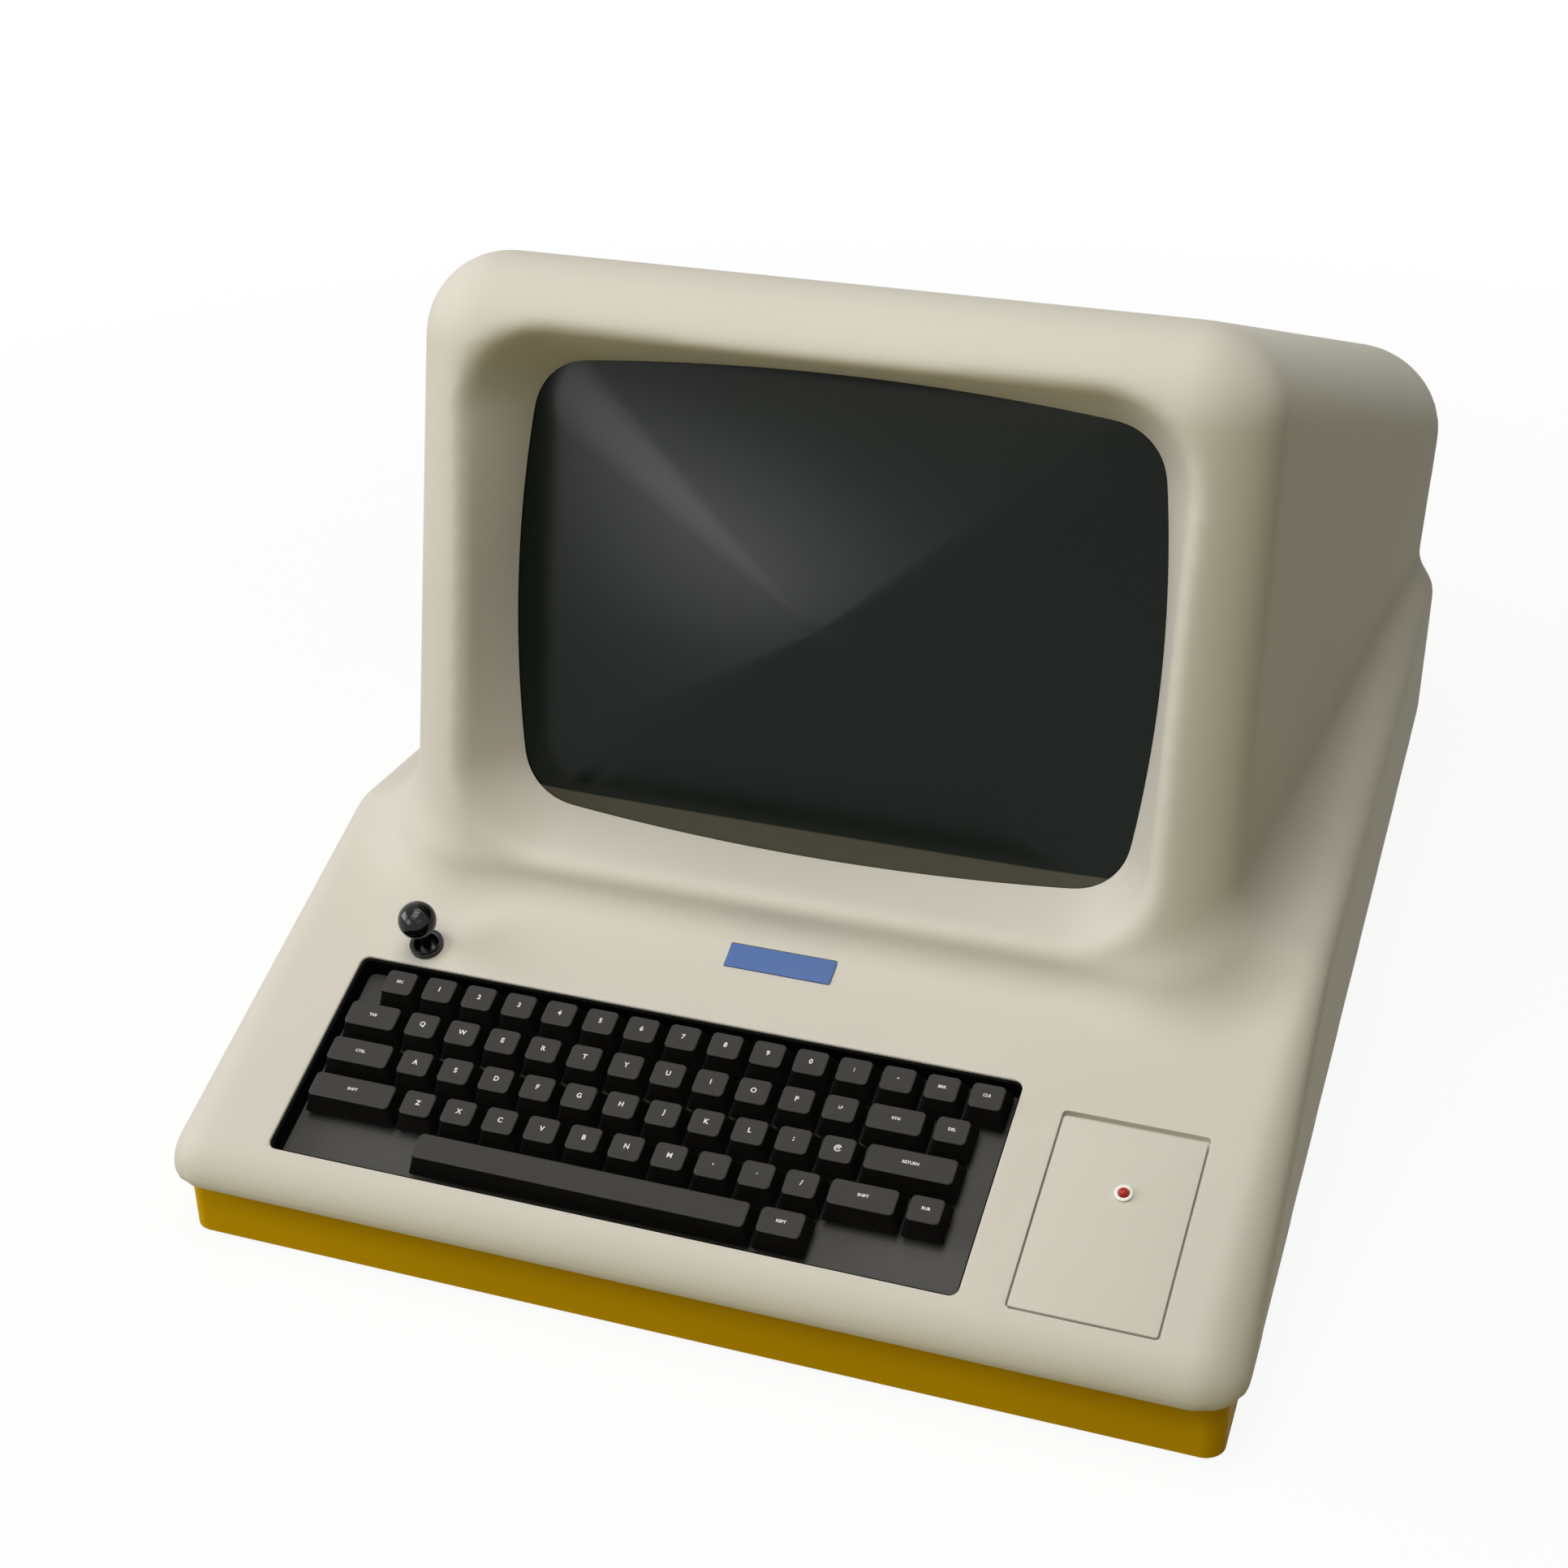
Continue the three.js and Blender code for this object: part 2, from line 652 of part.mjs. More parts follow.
// Mains transformer on the floor of the tray
const coreWidth = 84;
const coreDepth = 44;
const coreHeight = 70;
const coilWidth = 46;
const coilDepth = 66;
const coilHeight = 46;
const transformerX = -130;
const transformerFromRear = 124;

function powerTransformer() {
  const transformerY = rearY - transformerFromRear;
  const floor = footHeight + trayWall + seatGap;
  const core = box(transformerX - coreWidth / 2, transformerX + coreWidth / 2, transformerY - coreDepth / 2,
    transformerY + coreDepth / 2, floor, floor + coreHeight);
  const coilZ = floor + (coreHeight - coilHeight) / 2;
  const coil = roundedBlock(transformerX, transformerY, coilZ, coilZ + coilHeight, coilWidth, coilDepth,
    coilWidth / 4);
  return core.add(coil);
}

// Picture tube, its axis square to the face of the head
const glassSkirt = 30;
const glassBulge = 17;
const glassMargin = 3;
const glassSetback = 1.1;
const funnelDepth = 150;
const neckRadius = 14.5;
const neckLength = 95;
const funnelWaistRadius = 78;
const glassWall = 6;
const neckWall = 2.5;

const tubeFront = surroundDepth + glassSetback;
const neckStart = tubeFront + glassSkirt + funnelDepth;

function pictureTube() {
  const edge = screenOutline(glassMargin);
  const scaled = (share, depth) => faceRing(edge.map(([x, z]) => [x * share, z * share]), depth);
  // The face grows rounder towards its middle
  const domed = (share) => faceRing(edge.map(([x, z]) => {
    const reach = Math.hypot(x / screenHalfWidth, z / screenHalfHeight);
    const mix = THREE.MathUtils.lerp(1 / reach, 1, share * share) * share;
    return [x * mix, z * mix];
  }), tubeFront - glassBulge * (1 - share * share));
  const round = (radius, depth) => faceRing(edge.map(([x, z]) => {
    const reach = Math.hypot(x, z);
    return [(x / reach) * radius, (z / reach) * radius];
  }), depth);
  const domeShares = [0.3, 0.6, 0.85];
  const funnelMouth = tubeFront + glassSkirt;
  const rings = domeShares.map(domed);
  rings.push(scaled(1, tubeFront), scaled(1, funnelMouth));
  rings.push(round(funnelWaistRadius, funnelMouth + funnelDepth / 2));
  rings.push(round(neckRadius * 2, neckStart - yokeFlare));
  rings.push(round(neckRadius, neckStart), round(neckRadius, neckStart + neckLength));
  // The glass is hollow as far as the open end of the neck
  const sparse = (ring) => ring.filter((point, i) => i % 2 === 0);
  const inner = 1 - glassWall / screenHalfHeight;
  const hollow = [
    scaled(inner, tubeFront + glassWall), scaled(inner, funnelMouth),
    round(funnelWaistRadius - glassWall, funnelMouth + funnelDepth / 2),
    round(neckRadius * 2 - glassWall, neckStart - yokeFlare),
    round(neckRadius - neckWall, neckStart), round(neckRadius - neckWall, neckStart + neckLength + overrun),
  ];
  return loft(rings).subtract(loft(hollow.map(sparse)));
}

// Coils clamped round the start of the tube's neck
const yokeFlare = 24;
const yokeLength = 38;
const yokeRadius = 30;
const yokeLipRadius = 42;
const yokeLip = 8;

function deflectionYoke() {
  const neck = neckRadius + slideGap;
  const mouth = neckRadius * 2 + seatGap * 3;
  const ring = turned([
    [neck, yokeLength], [neck, 0], [mouth, -yokeFlare], [yokeLipRadius, -yokeFlare],
    [yokeLipRadius, -yokeFlare + yokeLip], [yokeRadius, -yokeFlare + yokeLip * 2],
    [yokeRadius, yokeLength - yokeLip], [yokeRadius - yokeLip, yokeLength], [neck, yokeLength],
  ], 20);
  const place = faceMatrix();
  place.multiply(new THREE.Matrix4().makeTranslation(0, neckStart, screenFromDesk));
  place.multiply(new THREE.Matrix4().makeRotationX(-Math.PI / 2));
  return ring.transform(place.toArray());
}

// Option panel in the deck and its lamp
const panelX = 168.5;
const panelUp = 58.3;
const panelWidth = 59.2;
const panelHeight = 89.6;
const panelCornerRadius = 1.2;
const panelGroove = 0.9;
const panelTopGroove = 2.4;
const panelThickness = 3;
const panelLedge = 4;
const panelWellRim = 4;
const panelWellDepth = 7;
const lampX = 170.9;
const lampUp = 72.3;
const lampRingRadius = 3.8;
const lampBoreRadius = 2.3;
const lampNeckRadius = 3;
const lampLip = 1.1;
const lampTail = 6;

function optionPanel() {
  const slab = roundedBlock(panelX, panelUp, -panelThickness, 0, panelWidth, panelHeight, panelCornerRadius);
  return slab.subtract(post(lampX, lampUp, -panelThickness - overrun, overrun, lampNeckRadius + seatGap));
}

function lampRing() {
  return turned([[lampBoreRadius, -lampTail], [lampNeckRadius, -lampTail], [lampNeckRadius, seatGap],
    [lampRingRadius, seatGap], [lampRingRadius, lampLip], [lampRingRadius - lampLip / 2, lampLip + seatGap],
    [lampBoreRadius, lampLip + seatGap], [lampBoreRadius, -lampTail]], 16);
}

function lampLens() {
  const radius = lampBoreRadius - seatGap;
  const profile = [[0, -lampTail], [radius, -lampTail]];
  const steps = 5;
  for (let i = 0; i <= steps; i += 1) {
    const turn = (i / steps) * (Math.PI / 2);
    profile.push([i === steps ? 0 : radius * Math.cos(turn), lampLip + radius * Math.sin(turn)]);
  }
  return turned(profile, 16);
}

// Bare name plate let into the deck
const plateX = 0.9;
const plateUp = 150.5;
const plateWidth = 48.4;
const plateHeight = 12.2;
const plateCornerRadius = 0.8;
const plateThickness = 1;
const plateSink = 0.7;

function namePlate() {
  const bottom = -plateSink + seatGap;
  return roundedBlock(plateX, plateUp, bottom, bottom + plateThickness, plateWidth, plateHeight,
    plateCornerRadius);
}

// Joystick: collar on the deck, housing under it, gimbal and lever
const stickX = -157.4;
const stickUp = 126.1;
const collarRadius = 7.6;
const collarHeight = 2.6;
const collarNeckRadius = 6.2;
const collarBore = 4;
const collarMouth = 5.9;
const collarBevel = 1;
const stickShaftRadius = 2.1;
const ballRadius = 8.5;
const ballHeight = 18.8;
const pivotDepth = 8;
const gimbalOuter = 15;
const gimbalInner = 9.6;
const gimbalHeight = 4;
const housingOuter = 21;
const housingWall = 1.3;
const housingDepth = 15;
const trunnionRadius = 1.3;

function stickCollar() {
  const bottom = -shellWall - seatGap;
  return turned([
    [collarBore, bottom], [collarNeckRadius, bottom], [collarNeckRadius, seatGap], [collarRadius, seatGap],
    [collarRadius, collarHeight - collarBevel], [collarRadius - collarBevel, collarHeight],
    [collarMouth, collarHeight], [collarBore, bottom],
  ], 20);
}

// Open box under the deck; the gimbal turns in two bores in its side walls
function stickHousing() {
  const top = -shellWall - seatGap;
  const half = housingOuter / 2;
  const room = half - housingWall;
  const cup = box(-half, half, -half, half, -housingDepth, top);
  const bore = trunnionRadius + seatGap;
  const bores = placed(new THREE.CylinderGeometry(bore, bore, housingOuter + overrun, 12),
    new THREE.Matrix4().makeRotationZ(Math.PI / 2).setPosition(0, 0, -pivotDepth));
  return cup.subtract(box(-room, room, -room, room, -housingDepth + housingWall, overrun)).subtract(bores);
}

// Gimbal ring: turns about X in the housing and carries the lever about its other axis
function stickGimbal() {
  const half = gimbalOuter / 2;
  const frame = box(-half, half, -half, half, -gimbalHeight / 2, gimbalHeight / 2);
  const open = gimbalInner / 2;
  const hole = box(-open, open, -open, open, -gimbalHeight, gimbalHeight);
  const reach = housingOuter - seatGap * 2;
  const pinX = placed(new THREE.CylinderGeometry(trunnionRadius, trunnionRadius, reach, 12),
    new THREE.Matrix4().makeRotationZ(Math.PI / 2));
  const boreRadius = trunnionRadius + seatGap;
  const bore = solid(new THREE.CylinderGeometry(boreRadius, boreRadius, gimbalOuter + overrun, 12));
  return frame.add(pinX).subtract(hole).subtract(bore);
}

function stickLever() {
  const hubLength = gimbalOuter - seatGap * 2;
  const hub = solid(new THREE.CylinderGeometry(trunnionRadius, trunnionRadius, hubLength, 12));
  const rise = ballHeight + pivotDepth;
  const shaft = post(0, 0, -gimbalHeight / 2, rise, stickShaftRadius, 16);
  const ball = solid(new THREE.SphereGeometry(ballRadius, 16, 10).rotateX(Math.PI / 2).translate(0, 0, rise));
  const half = gimbalInner / 2 - seatGap * 2;
  const boss = box(-half, half, -half, half, -gimbalHeight / 2, gimbalHeight / 2);
  return union([hub, shaft, ball, boss]);
}

// Rear panel with its sockets, fuse, switch well and control
const rearPanelZ = (serviceBottom + serviceTop) / 2;
const rearFaceY = rearY - rearFaceSetback;

// Block standing out of the rear panel: width by height, from one reach behind the face to another
function rearBlock(x, width, height, from, to, radius) {
  const block = roundedBlock(0, 0, from, to, width, height, radius, 1);
  return block.transform(rearMatrix(x).toArray());
}

// Local X to the machine's left, local Y up, local Z out of the back
function rearMatrix(x) {
  const turn = new THREE.Matrix4().makeBasis(new THREE.Vector3(-1, 0, 0), new THREE.Vector3(0, 0, 1),
    new THREE.Vector3(0, 1, 0));
  return turn.setPosition(x, rearFaceY, rearPanelZ);
}

function rearPanel() {
  const back = -rearPanelThickness;
  const corner = rockerWall;
  const [openWidth, openHeight] = [serviceHalfWidth * 2, serviceTop - serviceBottom];
  const [plateWide, plateHigh] = [openWidth - seatGap * 2, openHeight - seatGap * 2];
  const plate = rearBlock(0, plateWide, plateHigh, back - seatGap, 0, corner);
  const flange = rearBlock(0, openWidth + rearPanelFlange * 2, openHeight + rearPanelFlange * 2,
    back * 2 - seatGap * 2, back - seatGap * 2, corner);
  const link = rearBlock(0, plateWide, plateHigh, back * 2, back, corner);
  const pieces = [plate, flange, link];
  const cuts = [];
  // Mains inlet: a sunk box with three flat pins
  pieces.push(rearBlock(inletX, inletWidth + inletWall * 2, inletHeight + inletWall * 2,
    -inletDepth - inletWall, inletWall / 2, inletWall));
  cuts.push(rearBlock(inletX, inletWidth, inletHeight, -inletDepth, overrun, inletWall));
  const pins = [[-pinSpread, 0], [0, pinThickness * 2], [pinSpread, 0]].map(([dx, dz]) => box(
    inletX + dx - pinThickness / 2, inletX + dx + pinThickness / 2, rearFaceY - inletDepth - inletWall / 2,
    rearFaceY - inletDepth + pinLength, rearPanelZ + dz - pinWidth / 2, rearPanelZ + dz + pinWidth / 2));
  // Fuse cap, serial sockets, well of the switch and body of the control
  pieces.push(turned([[0, back], [fuseRadius, back], [fuseRadius, fuseReach - inletWall],
    [fuseRadius - inletWall, fuseReach], [0, fuseReach]], 16).transform(rearMatrix(fuseX).toArray()));
  for (const x of socketXs) {
    pieces.push(rearBlock(x, socketFlangeWidth, socketFlangeHeight, back, inletWall / 2, inletWall));
    pieces.push(rearBlock(x, socketWidth, socketHeight, back, socketReach, socketHeight / 4));
    cuts.push(rearBlock(x, socketWidth - socketWall * 2, socketHeight - socketWall * 2,
      socketReach - socketCore, socketReach + overrun, socketHeight / 4 - socketWall));
  }
  const wellHeight = (rockerReach + slideGap) * 2;
  const rockerRoom = rockerPivotDepth + rockerReach + slideGap;
  pieces.push(rearBlock(rockerX, rockerWidth + (slideGap + rockerWall) * 2, wellHeight + rockerWall * 2,
    -rockerRoom - rockerWall, inletWall / 2, rockerWall / 2));
  cuts.push(rearBlock(rockerX, rockerWidth + slideGap * 2, wellHeight, -rockerRoom, overrun, rockerWall / 4));
  const bore = rockerPinRadius + seatGap;
  cuts.push(placed(new THREE.CylinderGeometry(bore, bore, rockerWidth + rockerWall * 2, 12),
    rearMatrix(rockerX).multiply(new THREE.Matrix4().makeTranslation(0, 0, -rockerPivotDepth))
      .multiply(new THREE.Matrix4().makeRotationZ(Math.PI / 2))));
  const controlBack = -controlDepth - inletWall;
  pieces.push(turned([[0, controlBack], [controlRadius, controlBack], [controlRadius, back], [0, back]], 16)
    .transform(rearMatrix(knobX).toArray()));
  const [shaftRoom, shaftEnd] = [knobShaftRadius + slideGap, -knobShaftDepth - slideGap];
  cuts.push(turned([[0, shaftEnd], [shaftRoom, shaftEnd], [shaftRoom, overrun], [0, overrun]], 16)
    .transform(rearMatrix(knobX).toArray()));
  return union(pieces).subtract(union(cuts)).add(union(pins));
}

// Switch rocker, drawn about its pivot and lying over to the off side
function powerRocker() {
  const shape = new THREE.Shape();
  const spread = Math.PI / 3;
  const steps = 5;
  const tips = [];
  for (const side of [-1, 1]) {
    for (let i = 0; i <= steps; i += 1) {
      const share = side < 0 ? i / steps : 1 - i / steps;
      const turn = side * THREE.MathUtils.lerp(spread, Math.PI - spread, share);
      tips.push([rockerReach * Math.cos(turn), rockerReach * Math.sin(turn)]);
    }
  }
  const [, ...rest] = tips;
  shape.moveTo(...tips[0]);
  for (const [out, up] of rest) shape.lineTo(out, up);
  shape.lineTo(rockerReach * Math.cos(spread) - rockerDish, 0);
  const prism = new THREE.ExtrudeGeometry(shape, { depth: rockerWidth, bevelEnabled: false });
  prism.translate(0, 0, -rockerWidth / 2);
  const pin = new THREE.CylinderGeometry(rockerPinRadius, rockerPinRadius, rockerWidth + rockerWall, 12);
  pin.rotateX(Math.PI / 2);
  const standing = new THREE.Matrix4().makeBasis(new THREE.Vector3(0, 1, 0), new THREE.Vector3(0, 0, 1),
    new THREE.Vector3(1, 0, 0));
  const tilt = new THREE.Matrix4().makeRotationX(rockerTurn / 2);
  return solid(prism).add(solid(pin)).transform(tilt.multiply(standing).toArray());
}

function brightnessKnob() {
  const shape = new THREE.Shape();
  const points = knobFlutes * 2;
  for (let i = 0; i <= points; i += 1) {
    const turn = (2 * Math.PI * i) / points;
    const radius = knobRadius - (i % 2) * knobFluteDepth;
    const [x, y] = [radius * Math.cos(turn), radius * Math.sin(turn)];
    if (i === 0) shape.moveTo(x, y);
    else shape.lineTo(x, y);
  }
  const body = new THREE.ExtrudeGeometry(shape, { depth: knobReach - slideGap * 2, bevelEnabled: false });
  body.translate(0, 0, slideGap * 2);
  const pointer = box(-knobFluteDepth, knobFluteDepth, knobRadius / 3, knobRadius - knobFluteDepth,
    knobReach - slideGap * 2, knobReach + knobPointerRise);
  return union([solid(body), post(0, 0, -knobShaftDepth, knobReach / 2, knobShaftRadius, 16), pointer]);
}

// Keyboard tray, switches and keycaps
const trayWallThickness = 1.5;
const trayFloor = 2;
const trayFlange = 8;
const switchWidth = 11.5;
const switchRise = 5;
const switchBody = 8;
const stemWidth = 4;
const capWidth = 18;
const capTopWidth = 14.6;
const capTopDepth = 13.4;
const capTopShift = 1.1;
const capCornerRadius = 1.6;
const capEdge = 0.5;
const capWall = 1.2;
const capSkirtGap = keyTravel + seatGap;

// One row per entry: how far the row's first key starts from the escape key's
// middle, in key pitches, and the width of each key in the same unit
const keyRows = [
  {
    startShare: -0.5,
    moving: false,
    keys: ['esc', '1', '2', '3', '4', '5', '6', '7', '8', '9', '0', 'colon', 'minus', 'break', 'clear'],
  },
  {
    startShare: -1,
    moving: true,
    keys: ['tab', 'q', 'w', 'e', 'r', 't', 'y', 'u', 'i', 'o', 'p', 'line_feed', 'rtn', 'delete'],
  },
  {
    startShare: -1,
    moving: true,
    keys: ['control', 'a', 's', 'd', 'f', 'g', 'h', 'j', 'k', 'l', 'semicolon', 'at', 'return'],
  },
  {
    startShare: -1,
    moving: true,
    keys: ['left_shift', 'z', 'x', 'c', 'v', 'b', 'n', 'm', 'comma', 'period', 'slash', 'right_shift',
      'rub_out'],
  },
  { startShare: 2, moving: true, keys: ['space', 'repeat'] },
];
const keyWidthShares = {
  tab: 1.5,
  rtn: 1.5,
  control: 1.75,
  return: 2.25,
  left_shift: 2.25,
  right_shift: 1.75,
  space: 8,
  repeat: 1.25,
};

function keyPlaces() {
  const places = [];
  keyRows.forEach((row, index) => {
    let left = row.startShare;
    for (const key of row.keys) {
      const wide = keyWidthShares[key] ?? 1;
      const x = -escFromMiddle + (left + wide / 2) * keyPitch;
      places.push({ key, x, up: topRowFromNose - index * keyPitch, wide, moving: row.moving });
      left += wide;
    }
  });
  return places;
}

// Outer width of a cap that is so many key pitches wide
function capSpan(wide) {
  return wide * keyPitch - (keyPitch - capWidth);
}

// Ring of a rounded rectangle for the keycap
function capRing(width, depth, shift, z) {
  const ring = [];
  const steps = 1;
  const [w, d] = [width / 2 - capCornerRadius, depth / 2 - capCornerRadius];
  const corners = [[w, d], [-w, d], [-w, -d], [w, -d]];
  corners.forEach(([x, y], corner) => {
    for (let i = 0; i <= steps; i += 1) {
      const turn = (corner + i / steps) * (Math.PI / 2);
      const [across, along] = [capCornerRadius * Math.cos(turn), capCornerRadius * Math.sin(turn)];
      ring.push(new THREE.Vector3(x + across, y + shift + along, z));
    }
  });
  return ring;
}

const capHeight = keyTopHeight + plateDepth - capSkirtGap;

function capBlock(width) {
  const slim = capWidth - capTopWidth;
  return loft([
    capRing(width, capWidth, 0, 0),
    capRing(width - slim, capTopDepth, capTopShift, capHeight - capEdge),
    capRing(width - slim - capEdge * 2, capTopDepth - capEdge * 2, capTopShift, capHeight),
  ]);
}

// Moving cap: hollow under its top, with a square stem; local zero is the rim of the skirt
function movingCap(width) {
  const slim = capWidth - capTopWidth;
  const lid = capWall * 1.25;
  const square = (w, d, shift, z) => [[1, 1], [-1, 1], [-1, -1], [1, -1]].map(([sx, sy]) => new THREE.Vector3(
    (sx * w) / 2, (sy * d) / 2 + shift, z));
  const hollow = loft([
    square(width - capWall * 2, capWidth - capWall * 2, 0, -overrun),
    square(width - capWall * 2, capWidth - capWall * 2, 0, 0),
    square(width - slim - capWall * 2, capTopDepth - capWall * 2, capTopShift, capHeight - lid),
  ]);
  const stem = box(-stemWidth / 2, stemWidth / 2, -stemWidth / 2, stemWidth / 2, -capSkirtGap + seatGap * 2,
    capHeight - lid / 2);
  return capBlock(width).subtract(hollow).add(stem);
}

function keyboardPlate() {
  const bottom = -plateDepth - trayFloor;
  const centreUp = wellFrontEdge + wellHeight / 2;
  const width = wellWidth - seatGap * 2;
  const height = wellHeight - seatGap * 2;
  const radius = wellCornerRadius - seatGap;
  const rim = roundedBlock(wellCentreX, centreUp, bottom, -seatGap * 2, width, height, radius);
  const room = roundedBlock(wellCentreX, centreUp, -plateDepth, overrun, width - trayWallThickness * 2,
    height - trayWallThickness * 2, radius - trayWallThickness);
  const flange = roundedBlock(wellCentreX, centreUp, -shellWall - seatGap - trayFloor, -shellWall - seatGap,
    width + trayFlange * 2, height - trayFlange, radius);
  const pieces = [rim.add(flange).subtract(room)];
  const holes = [];
  keyRows.forEach((row, index) => {
    const up = topRowFromNose - index * keyPitch;
    const places = keyPlaces().filter((place) => place.up === up);
    const half = switchWidth / 2;
    pieces.push(box(places[0].x - half, places.at(-1).x + half, up - half, up + half,
      bottom - switchBody, bottom + trayFloor / 2));
  });
  for (const { x, up, wide, moving } of keyPlaces()) {
    const half = switchWidth / 2;
    const top = moving ? -plateDepth + switchRise : -plateDepth + capSkirtGap + capEdge;
    pieces.push(box(x - half, x + half, up - half, up + half, bottom, top));
    if (moving) {
      const bore = stemWidth / 2 + slideGap;
      const floor = bottom - switchBody + trayFloor;
      holes.push(box(x - bore, x + bore, up - bore, up + bore, floor, top + overrun));
    } else {
      pieces.push(capBlock(capSpan(wide)).translate(x, up, -plateDepth + capSkirtGap));
    }
  }
  return union(pieces).subtract(union(holes));
}

// Finishes
const cream = material(0xd3cfc2, 0.42);
const mustard = material(0x9a7400, 0.5);
const black = material(0x1a1a1a, 0.45);
const capGrey = material(0x3b3b3b, 0.5);
const glass = material(0x1c211f, 0.08);
const boardGreen = material(0x1f5a34, 0.6);
const steel = material(0x8d9093, 0.4, 0.8);
const blue = material(0x4f6cab, 0.5);
const white = material(0xe6e6e2, 0.4);
const red = material(0xb01a10, 0.2);
const gloss = material(0x0b0b0c, 0.1);
const copper = material(0x8a4a24, 0.5, 0.3);

// Assembly
const machine = new THREE.Group();
const deck = new THREE.Group();
deck.position.set(0, noseY, deckFrontHeight);
deck.rotation.x = deckAngle;
machine.add(deck);

function addPart(parent, name, shape, finish, x = 0, y = 0, z = 0) {
  const mesh = new THREE.Mesh(geometryOf(shape), finish);
  mesh.name = name;
  mesh.position.set(x, y, z);
  parent.add(mesh);
  return mesh;
}

addPart(machine, 'upper_case', upperCase(), cream);
addPart(machine, 'lower_case', baseTray(), mustard);
addPart(machine, 'picture_tube', pictureTube(), glass);
addPart(machine, 'deflection_yoke', deflectionYoke(), copper);
addPart(machine, 'rear_panel', rearPanel(), steel);
addPart(machine, 'power_rocker', powerRocker(), black, rockerX, rearFaceY - rockerPivotDepth, rearPanelZ);
const knobMount = new THREE.Group();
knobMount.applyMatrix4(rearMatrix(knobX));
machine.add(knobMount);
addPart(knobMount, 'brightness_knob', brightnessKnob(), black);
addPart(machine, 'logic_board', logicBoard(), boardGreen);
addPart(machine, 'power_transformer', powerTransformer(), steel);
addPart(deck, 'keyboard_plate', keyboardPlate(), black);
addPart(deck, 'option_panel', optionPanel(), cream);
addPart(deck, 'lamp_ring', lampRing(), white, lampX, lampUp, 0);
addPart(deck, 'lamp_lens', lampLens(), red, lampX, lampUp, 0);
addPart(deck, 'name_plate', namePlate(), blue);
addPart(deck, 'joystick_collar', stickCollar(), gloss, stickX, stickUp, 0);
addPart(deck, 'joystick_housing', stickHousing(), black, stickX, stickUp, 0);
addPart(deck, 'joystick_gimbal', stickGimbal(), steel, stickX, stickUp, -pivotDepth);
addPart(deck, 'joystick_lever', stickLever(), gloss, stickX, stickUp, -pivotDepth);
for (const { key, x, up, wide, moving } of keyPlaces()) {
  if (moving) {
    const cap = movingCap(capSpan(wide));
    addPart(deck, `key_${key}`, cap, capGrey, x, up, -plateDepth + capSkirtGap);
  }
}

export default machine;
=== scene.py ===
"""Looks of a one-piece home computer of the late 1970s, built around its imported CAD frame.

Sizes are in millimetres and become metres when a mesh is made. X runs to the right, Y to the
back, Z up. The deck frame starts at the nose: x across, y up the slope, z out of the deck.
"""

import math
from collections import namedtuple

import bmesh
import bpy
import numpy as np
from mathutils import Matrix, Vector
from mathutils.bvhtree import BVHTree


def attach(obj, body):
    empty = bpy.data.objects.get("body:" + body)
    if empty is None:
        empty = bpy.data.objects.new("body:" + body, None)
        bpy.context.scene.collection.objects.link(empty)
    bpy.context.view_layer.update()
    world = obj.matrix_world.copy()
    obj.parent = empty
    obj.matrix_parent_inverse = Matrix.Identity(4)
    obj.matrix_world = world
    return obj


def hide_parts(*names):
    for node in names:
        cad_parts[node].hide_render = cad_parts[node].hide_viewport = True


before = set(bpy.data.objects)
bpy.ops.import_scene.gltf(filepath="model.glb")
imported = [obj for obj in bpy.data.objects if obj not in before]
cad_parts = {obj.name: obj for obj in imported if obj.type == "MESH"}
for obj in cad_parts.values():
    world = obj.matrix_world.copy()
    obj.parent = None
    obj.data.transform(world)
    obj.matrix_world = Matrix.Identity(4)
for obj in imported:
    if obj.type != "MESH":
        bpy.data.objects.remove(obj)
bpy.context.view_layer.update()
scene = bpy.context.scene

MM = 0.001
SEAT_GAP = 0.3
SLIDE_GAP = 0.4
OVERRUN = 5
AXIS_GAP = 0.01
EDGE_STEPS = 4
LIP_STEPS = 5
ROUND_SEGMENTS = 48
SHARP_ANGLE = math.radians(35)

# Body of the upper case
BODY_FRONT_WIDTH = 468.4
BODY_REAR_WIDTH = 424
BODY_DEPTH = 629
PARTING_HEIGHT = 32.4
DECK_FRONT_HEIGHT = 50.1
DECK_RUN = 188.9
SHOULDER_FRONT_HEIGHT = 127.3
SHOULDER_REAR_HEIGHT = 122.8
NOSE_RADIUS = 21.3
LOWER_CORNER_RADIUS = 27.8
LOWER_FRONT_INSET = 4.4
LOWER_SIDE_INSET = 1.2
SHOULDER_EDGE_RADIUS = 10.2
REAR_EDGE_RADIUS = 14
LOWER_EDGE_RADIUS = 4
SHELL_WALL = 3.5
SEAT_FLANGE_WIDTH = 22
SEAT_FLANGE_THICKNESS = 3

# Head of the upper case
HEAD_FRONT_WIDTH = 373.6
HEAD_REAR_WIDTH = 411
HEAD_SILL_WIDTH = 377.4
HEAD_REAR_FOOT_WIDTH = 403
HEAD_TOP_HEIGHT = 382.3
HEAD_REAR_HEIGHT = 245.3
HEAD_REAR_SETBACK = 3
HEAD_CORNER_RADIUS = 36.7
HEAD_REAR_CORNER_RADIUS = 46.8
HEAD_REAR_EDGE_RADIUS = 6
FACE_FOOT_SETBACK = 118.2
FACE_LEAN_RUN = 75.4
SILL_FROM_NOSE = 167.5
SILL_HEIGHT = 20
SILL_RADIUS = 8
FLARE_FRONT_RADIUS = 15
FLARE_SIDE_RADIUS = 34
FLARE_REAR_RADIUS = 9

# Even mesh of the case, and the points of the finest and coarsest rounds in its hulls
CASE_VOXEL = 2.8
SKIN_SEGMENTS = 64
CAVITY_SEGMENTS = 24
SETTLE_ROUNDS = 3

